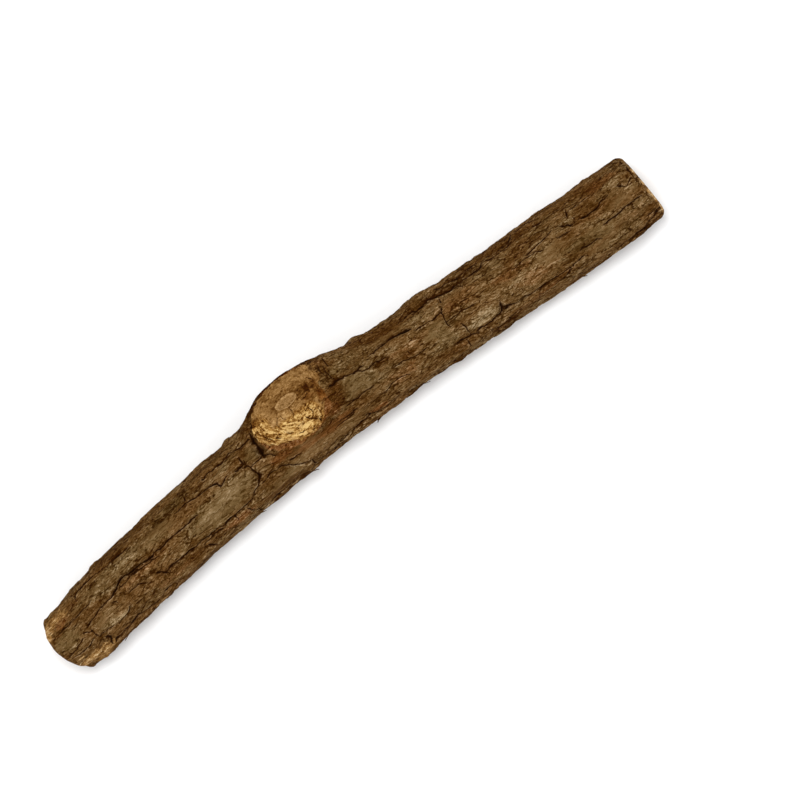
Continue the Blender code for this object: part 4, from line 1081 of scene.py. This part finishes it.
# The flakes of bark that have come loose along the stick: thin curved scales, still held by one edge. One
# is modelled, and each copy is laid on the bark where it is, with its outer edge standing off.
FLAKE_THICKNESS = 0.14
CLEAR_OF_STICK = 20.0

# Place, angle, length, width, how far the free edge stands off and how much lighter each flake is. Those
# along the lower outline are made darker: painted shade for their shaded undersides.
FLAKES = [
    (24.4, 78, 2.6, 1, 0.26, 0), (41.9, 78, 1.6, 1, 0.34, 0), (67.8, 76, 3.2, 1.1, 0.3, 0),
    (79.6, 78, 2.8, 1.1, 0.3, 0), (112.4, 78, 2.2, 0.9, 0.32, 0), (103, 80, 2.6, 0.9, 0.2, 0),
    (12.8, 80, 2.4, 0.9, 0.22, 0), (91.6, 80, 2, 0.9, 0.2, -0.05), (59.4, 58, 2.4, 1.2, 0.3, -0.16),
    (62.6, 68, 2, 0.9, 0.22, -0.1), (15.8, -84, 3, 1, 0.25, -0.1), (20.2, -84, 2, 0.9, 0.2, -0.06),
    (26, -84, 3, 1, 0.22, -0.1), (44, -86, 5, 1, 0.2, -0.26), (48.6, -88, 3.2, 0.9, 0.24, -0.26),
    (70.8, -84, 3.2, 1, 0.3, -0.22), (76.4, -87, 3, 1, 0.22, -0.22), (79.6, -84, 2.6, 1, 0.25, -0.18),
    (88.2, -84, 4, 1, 0.24, -0.22), (96.6, -84, 6, 0.9, 0.18, 0.05), (101.6, -86, 3.2, 0.9, 0.2, -0.1),
    (115, -84, 4.6, 1, 0.22, -0.16), (6, -82, 2.4, 0.9, 0.2, 0.05), (12.4, -28, 3, 0.8, 0.22, 0.1),
    (105, 28, 1.6, 0.6, 0.2, 0.1), (39.2, 14, 2, 0.6, 0.16, 0), (81.5, 24, 2.2, 0.7, 0.18, 0.08),
    (34, 150, 4, 1.2, 0.25, 0), (72, 196, 3.4, 1.1, 0.2, 0), (95, 140, 3, 1, 0.28, 0.05),
    (20, 215, 3.6, 1.1, 0.2, 0), (58, 235, 2.8, 1, 0.26, 0), (108, 228, 3.2, 1, 0.22, 0.05),
]
skin = BVHTree.FromPolygons([tuple(p) for p in points], [tuple(p.vertices) for p in stick.data.polygons])
first_corner = [polygon.vertices[0] for polygon in stick.data.polygons]


def on_surface(along, angle):
    """The point of the finished stick at a place and angle, its outward direction and nearest vertex."""
    axis = np.array([along - LENGTH / 2, float(through(BOW, np.array([along]))[0]), 0.0]) + shift
    out = np.array([0.0, math.sin(angle), math.cos(angle)])
    hit, _, face, _ = skin.ray_cast(Vector(axis + CLEAR_OF_STICK * out), Vector(-out))
    return np.array(hit), out, first_corner[face]


def laid(pattern, name, place, angle, heading, size, lift, changes):
    """A copy of a thin piece, laid on the stick and turned there, and lifted off it by a rule."""
    piece = pattern.copy()
    piece.data = pattern.data.copy()
    piece.name = name
    bpy.context.collection.objects.link(piece)
    length, width, thickness = size
    turn = math.radians(heading)
    nearest = []
    for vertex in piece.data.vertices:
        x, y, z = vertex.co
        ahead, aside = 0.5 * length * x, 0.5 * width * y
        at = place + ahead * math.cos(turn) - aside * math.sin(turn)
        turned = math.radians(angle) + (ahead * math.sin(turn) + aside * math.cos(turn)) / RADIUS
        hit, out, corner = on_surface(at, turned)
        vertex.co = Vector((hit + (thickness * (z - 0.25) + lift(x, y)) * out) * MM)
        vertex.co.z = max(vertex.co.z, 0.0)
        nearest.append(corner)
    for mark, values in stored.items():
        copied = values[nearest]
        if mark in ("tone", "light"):
            copied = copied + changes.get(mark, 0.0)
        elif mark in changes:
            copied = np.full_like(copied, changes[mark])
        store(piece.data, mark, copied)
    finished(piece)


def thin_sheet(name, columns, rows):
    """A flat grid two units square, to be shaped into a thin piece."""
    bpy.ops.object.select_all(action="DESELECT")
    bpy.ops.mesh.primitive_grid_add(x_subdivisions=columns, y_subdivisions=rows, size=2.0)
    bpy.context.object.name = name
    return bpy.context.object


def thicken(sheet):
    """Gives a sheet a thickness of one unit."""
    bpy.ops.object.modifier_add(type="SOLIDIFY")
    sheet.modifiers[-1].thickness = 1.0
    sheet.modifiers[-1].offset = 0.0
    bpy.ops.object.modifier_apply(modifier=sheet.modifiers[-1].name)
    bpy.ops.object.shade_flat()


flake = thin_sheet("flake_pattern", 8, 3)
for vertex in flake.data.vertices:
    x, y, _ = vertex.co
    ragged = noise.noise(Vector((2.3 * x, 1.7 * y, 8.0)))
    vertex.co.x = x + 0.14 * ragged * (1.0 - y * y) + 0.16 * y
    vertex.co.y = y * (1.0 - 0.40 * max(x, 0.0) ** 3 - 0.70 * max(-x, 0.0) ** 2) + 0.22 * ragged
thicken(flake)
of_bark = {"groove": FAR, "sided": FAR, "highlight_edge": FAR}
for number, (place, angle, length, width, stand_off, lighter) in enumerate(FLAKES):
    heading = 180.0 if angle < 0 else 0.0
    size = (length, width, FLAKE_THICKNESS)
    laid(flake, f"bark_flake_{number + 1}", place, angle, heading, size,
         lambda x, y: stand_off * (0.5 + 0.5 * y) ** 1.4 * (1.0 - 0.4 * x * x), {**of_bark, "tone": lighter})
bpy.data.objects.remove(flake)

# The splinters: thin tapering slivers, torn loose but for their root, of bark along the stick's lower edge
# and of wood at the torn edge of the knot and at the bare corners of the rounded end. One is modelled.
SPLINTER_THICKNESS = 0.10

# Place, angle, heading, length, width, how far the tip stands off and how much lighter each splinter is.
# The bark splinters along the lower outline are made darker: painted shade for their shaded undersides.
BARK_SPLINTERS = [
    (50.3, -88, 12, 1.3, 1.3, 0.4, -0.3), (102.6, -86, -6, 2.2, 0.6, 0.42, -0.3),
    (63.4, -86, 184, 1, 0.22, 0.85, -0.4), (63.2, -87, 150, 0.6, 0.2, 0.45, -0.4),
    (10.6, -84, 180, 1.8, 0.4, 0.3, -0.1), (39.6, -80, -30, 1.6, 0.5, 0.3, -0.2),
    (72.6, -82, 0, 2, 0.4, 0.32, -0.2), (91, -84, 0, 2, 0.4, 0.3, -0.18),
    (13.2, -26, -4, 2.6, 0.4, 0.25, 0.12), (66.2, 3, -40, 2.2, 0.4, 0.25, 0.14),
    (97, 22, 84, 1.3, 0.4, 0.2, 0.12), (26, 190, 20, 2.4, 0.5, 0.3, 0), (84, 160, 170, 2.6, 0.5, 0.35, 0),
    (112, 205, 8, 2.2, 0.4, 0.3, 0),
]
WOOD_SPLINTERS = [
    (46.9, 16, -62, 1.3, 0.35, 0.3, 0.16), (47.6, 9, -40, 1.6, 0.4, 0.34, 0.2),
    (48.6, 6, -20, 1.4, 0.3, 0.3, 0.1), (49.3, 1, -38, 1.7, 0.4, 0.36, 0.16),
    (50.4, -1, -24, 1.5, 0.35, 0.3, 0.2), (51.4, -6.5, -34, 1.5, 0.4, 0.32, 0.1),
    (52.4, -9, 10, 1.6, 0.35, 0.34, 0.16), (53.8, -11, -12, 1.4, 0.4, 0.3, 0.1),
    (54.9, -9, 24, 1.3, 0.3, 0.32, 0.14), (50.9, 7, -30, 1.2, 0.3, 0.22, 0.14),
    (53.2, 4, 16, 1.3, 0.3, 0.24, 0.16), (55.9, -4, 70, 1.5, 0.35, 0.34, 0.12),
    (56.6, 3, 76, 1.3, 0.35, 0.3, 0.1), (57.3, 9, 60, 1.2, 0.3, 0.26, 0.04),
]
END_SPLINTERS = [
    (1.5, 40, 176, 1.4, 0.3, 0.22, 0.2), (1.3, 48, 184, 1.5, 0.26, 0.24, 0.26),
    (1.6, 56, 180, 1.3, 0.3, 0.2, 0.16), (1.4, 33, 188, 1.2, 0.24, 0.2, 0.16),
    (2.6, -38, 172, 1.5, 0.3, 0.24, 0.14), (2.4, -46, 180, 1.6, 0.26, 0.26, 0.22),
    (2.8, -54, 186, 1.5, 0.3, 0.22, 0.16), (3.4, -62, 180, 1.4, 0.24, 0.2, 0.1),
]
splinter = thin_sheet("splinter_pattern", 5, 1)
for vertex in splinter.data.vertices:
    x, y, _ = vertex.co
    vertex.co.y = y * (1.0 - 0.88 * (0.5 + 0.5 * x) ** 1.3) + 0.30 * noise.noise(Vector((1.6 * x, 3.0, 5.0)))
thicken(splinter)
of_wood = {"groove": FAR, "sided": FAR, "bare": 1.0, "torn": 0.3, "oval": 3.0}
of_end = {**of_bark, "peeled": 0.2}
kinds = {"bark": (BARK_SPLINTERS, of_bark), "wood": (WOOD_SPLINTERS, of_wood), "end": (END_SPLINTERS, of_end)}
for kind, (splinters, marks) in kinds.items():
    for number, (place, angle, heading, length, width, stand_off, lighter) in enumerate(splinters):
        changes = {**marks, "light" if kind == "wood" else "tone": lighter}
        size = (length, width, SPLINTER_THICKNESS)
        laid(splinter, f"{kind}_splinter_{number + 1}", place, angle, heading, size,
             lambda x, y: stand_off * (0.5 + 0.5 * x) ** 1.6, changes)
bpy.data.objects.remove(splinter)

# The floor: a plain white sheet under the stick, which takes its soft shadow, and the plain light that
# comes from all round. It isn't part of the stick.
FLOOR_SIZE = 3.0
FLOOR_HEIGHT = -0.00002
SHEET_COLOUR = (0.90, 0.90, 0.90, 1.0)
WORLD_LIGHT = 1.0
bpy.ops.object.select_all(action="DESELECT")
bpy.ops.mesh.primitive_plane_add(size=FLOOR_SIZE, location=(0.0, 0.0, FLOOR_HEIGHT))
floor = bpy.context.object
floor.name = "floor"
paper = Finish("white_sheet")
paper.shader.inputs["Base Color"].default_value = SHEET_COLOUR
paper.shader.inputs["Roughness"].default_value = 0.9
floor.data.materials.append(paper.material)

world = bpy.data.worlds.new("soft_daylight")
world.use_nodes = True
world.node_tree.nodes["Background"].inputs["Color"].default_value = (1.0, 1.0, 1.0, 1.0)
world.node_tree.nodes["Background"].inputs["Strength"].default_value = WORLD_LIGHT
bpy.context.scene.world = world

# The lamp: a wide soft box high over the stick, a little to the upper left of the picture. Its place is
# given in the picture's own directions, which are turned from the stick's by this many degrees.
PICTURE_TURN = -37.98
LAMP_PLACE = (-0.11, 0.135, 1.00)
LAMP_SIZE = 0.26
LAMP_POWER = 5.1
bpy.ops.object.light_add(type="AREA")
lamp = bpy.context.object
lamp.name = "soft_box"
turn = math.radians(PICTURE_TURN)
lamp.location = (
    LAMP_PLACE[0] * math.cos(turn) - LAMP_PLACE[1] * math.sin(turn),
    LAMP_PLACE[0] * math.sin(turn) + LAMP_PLACE[1] * math.cos(turn),
    LAMP_PLACE[2],
)
lamp.rotation_euler = Vector(lamp.location).to_track_quat("Z", "Y").to_euler()
lamp.data.size = LAMP_SIZE
lamp.data.energy = LAMP_POWER

# The camera: a long lens straight above the stick, turned so that the stick runs from the lower left of
# the picture to its upper right. The frame's width is measured at the height of the stick's outline.
FRAME_WIDTH = 0.12765
FRAME_CENTRE = (0.00796, -0.00567)
OUTLINE_HEIGHT = 0.006
LENS = 300.0
SENSOR = 36.0
bpy.ops.object.camera_add()
camera = bpy.context.object
camera.name = "camera"
camera.data.lens = LENS
camera.data.sensor_width = SENSOR
camera.data.sensor_fit = "HORIZONTAL"
camera.data.clip_start = 0.01
camera.location = (*FRAME_CENTRE, OUTLINE_HEIGHT + FRAME_WIDTH * LENS / SENSOR)
camera.rotation_euler = (0.0, 0.0, turn)
bpy.context.scene.camera = camera
bpy.context.scene.view_settings.view_transform = "Standard"
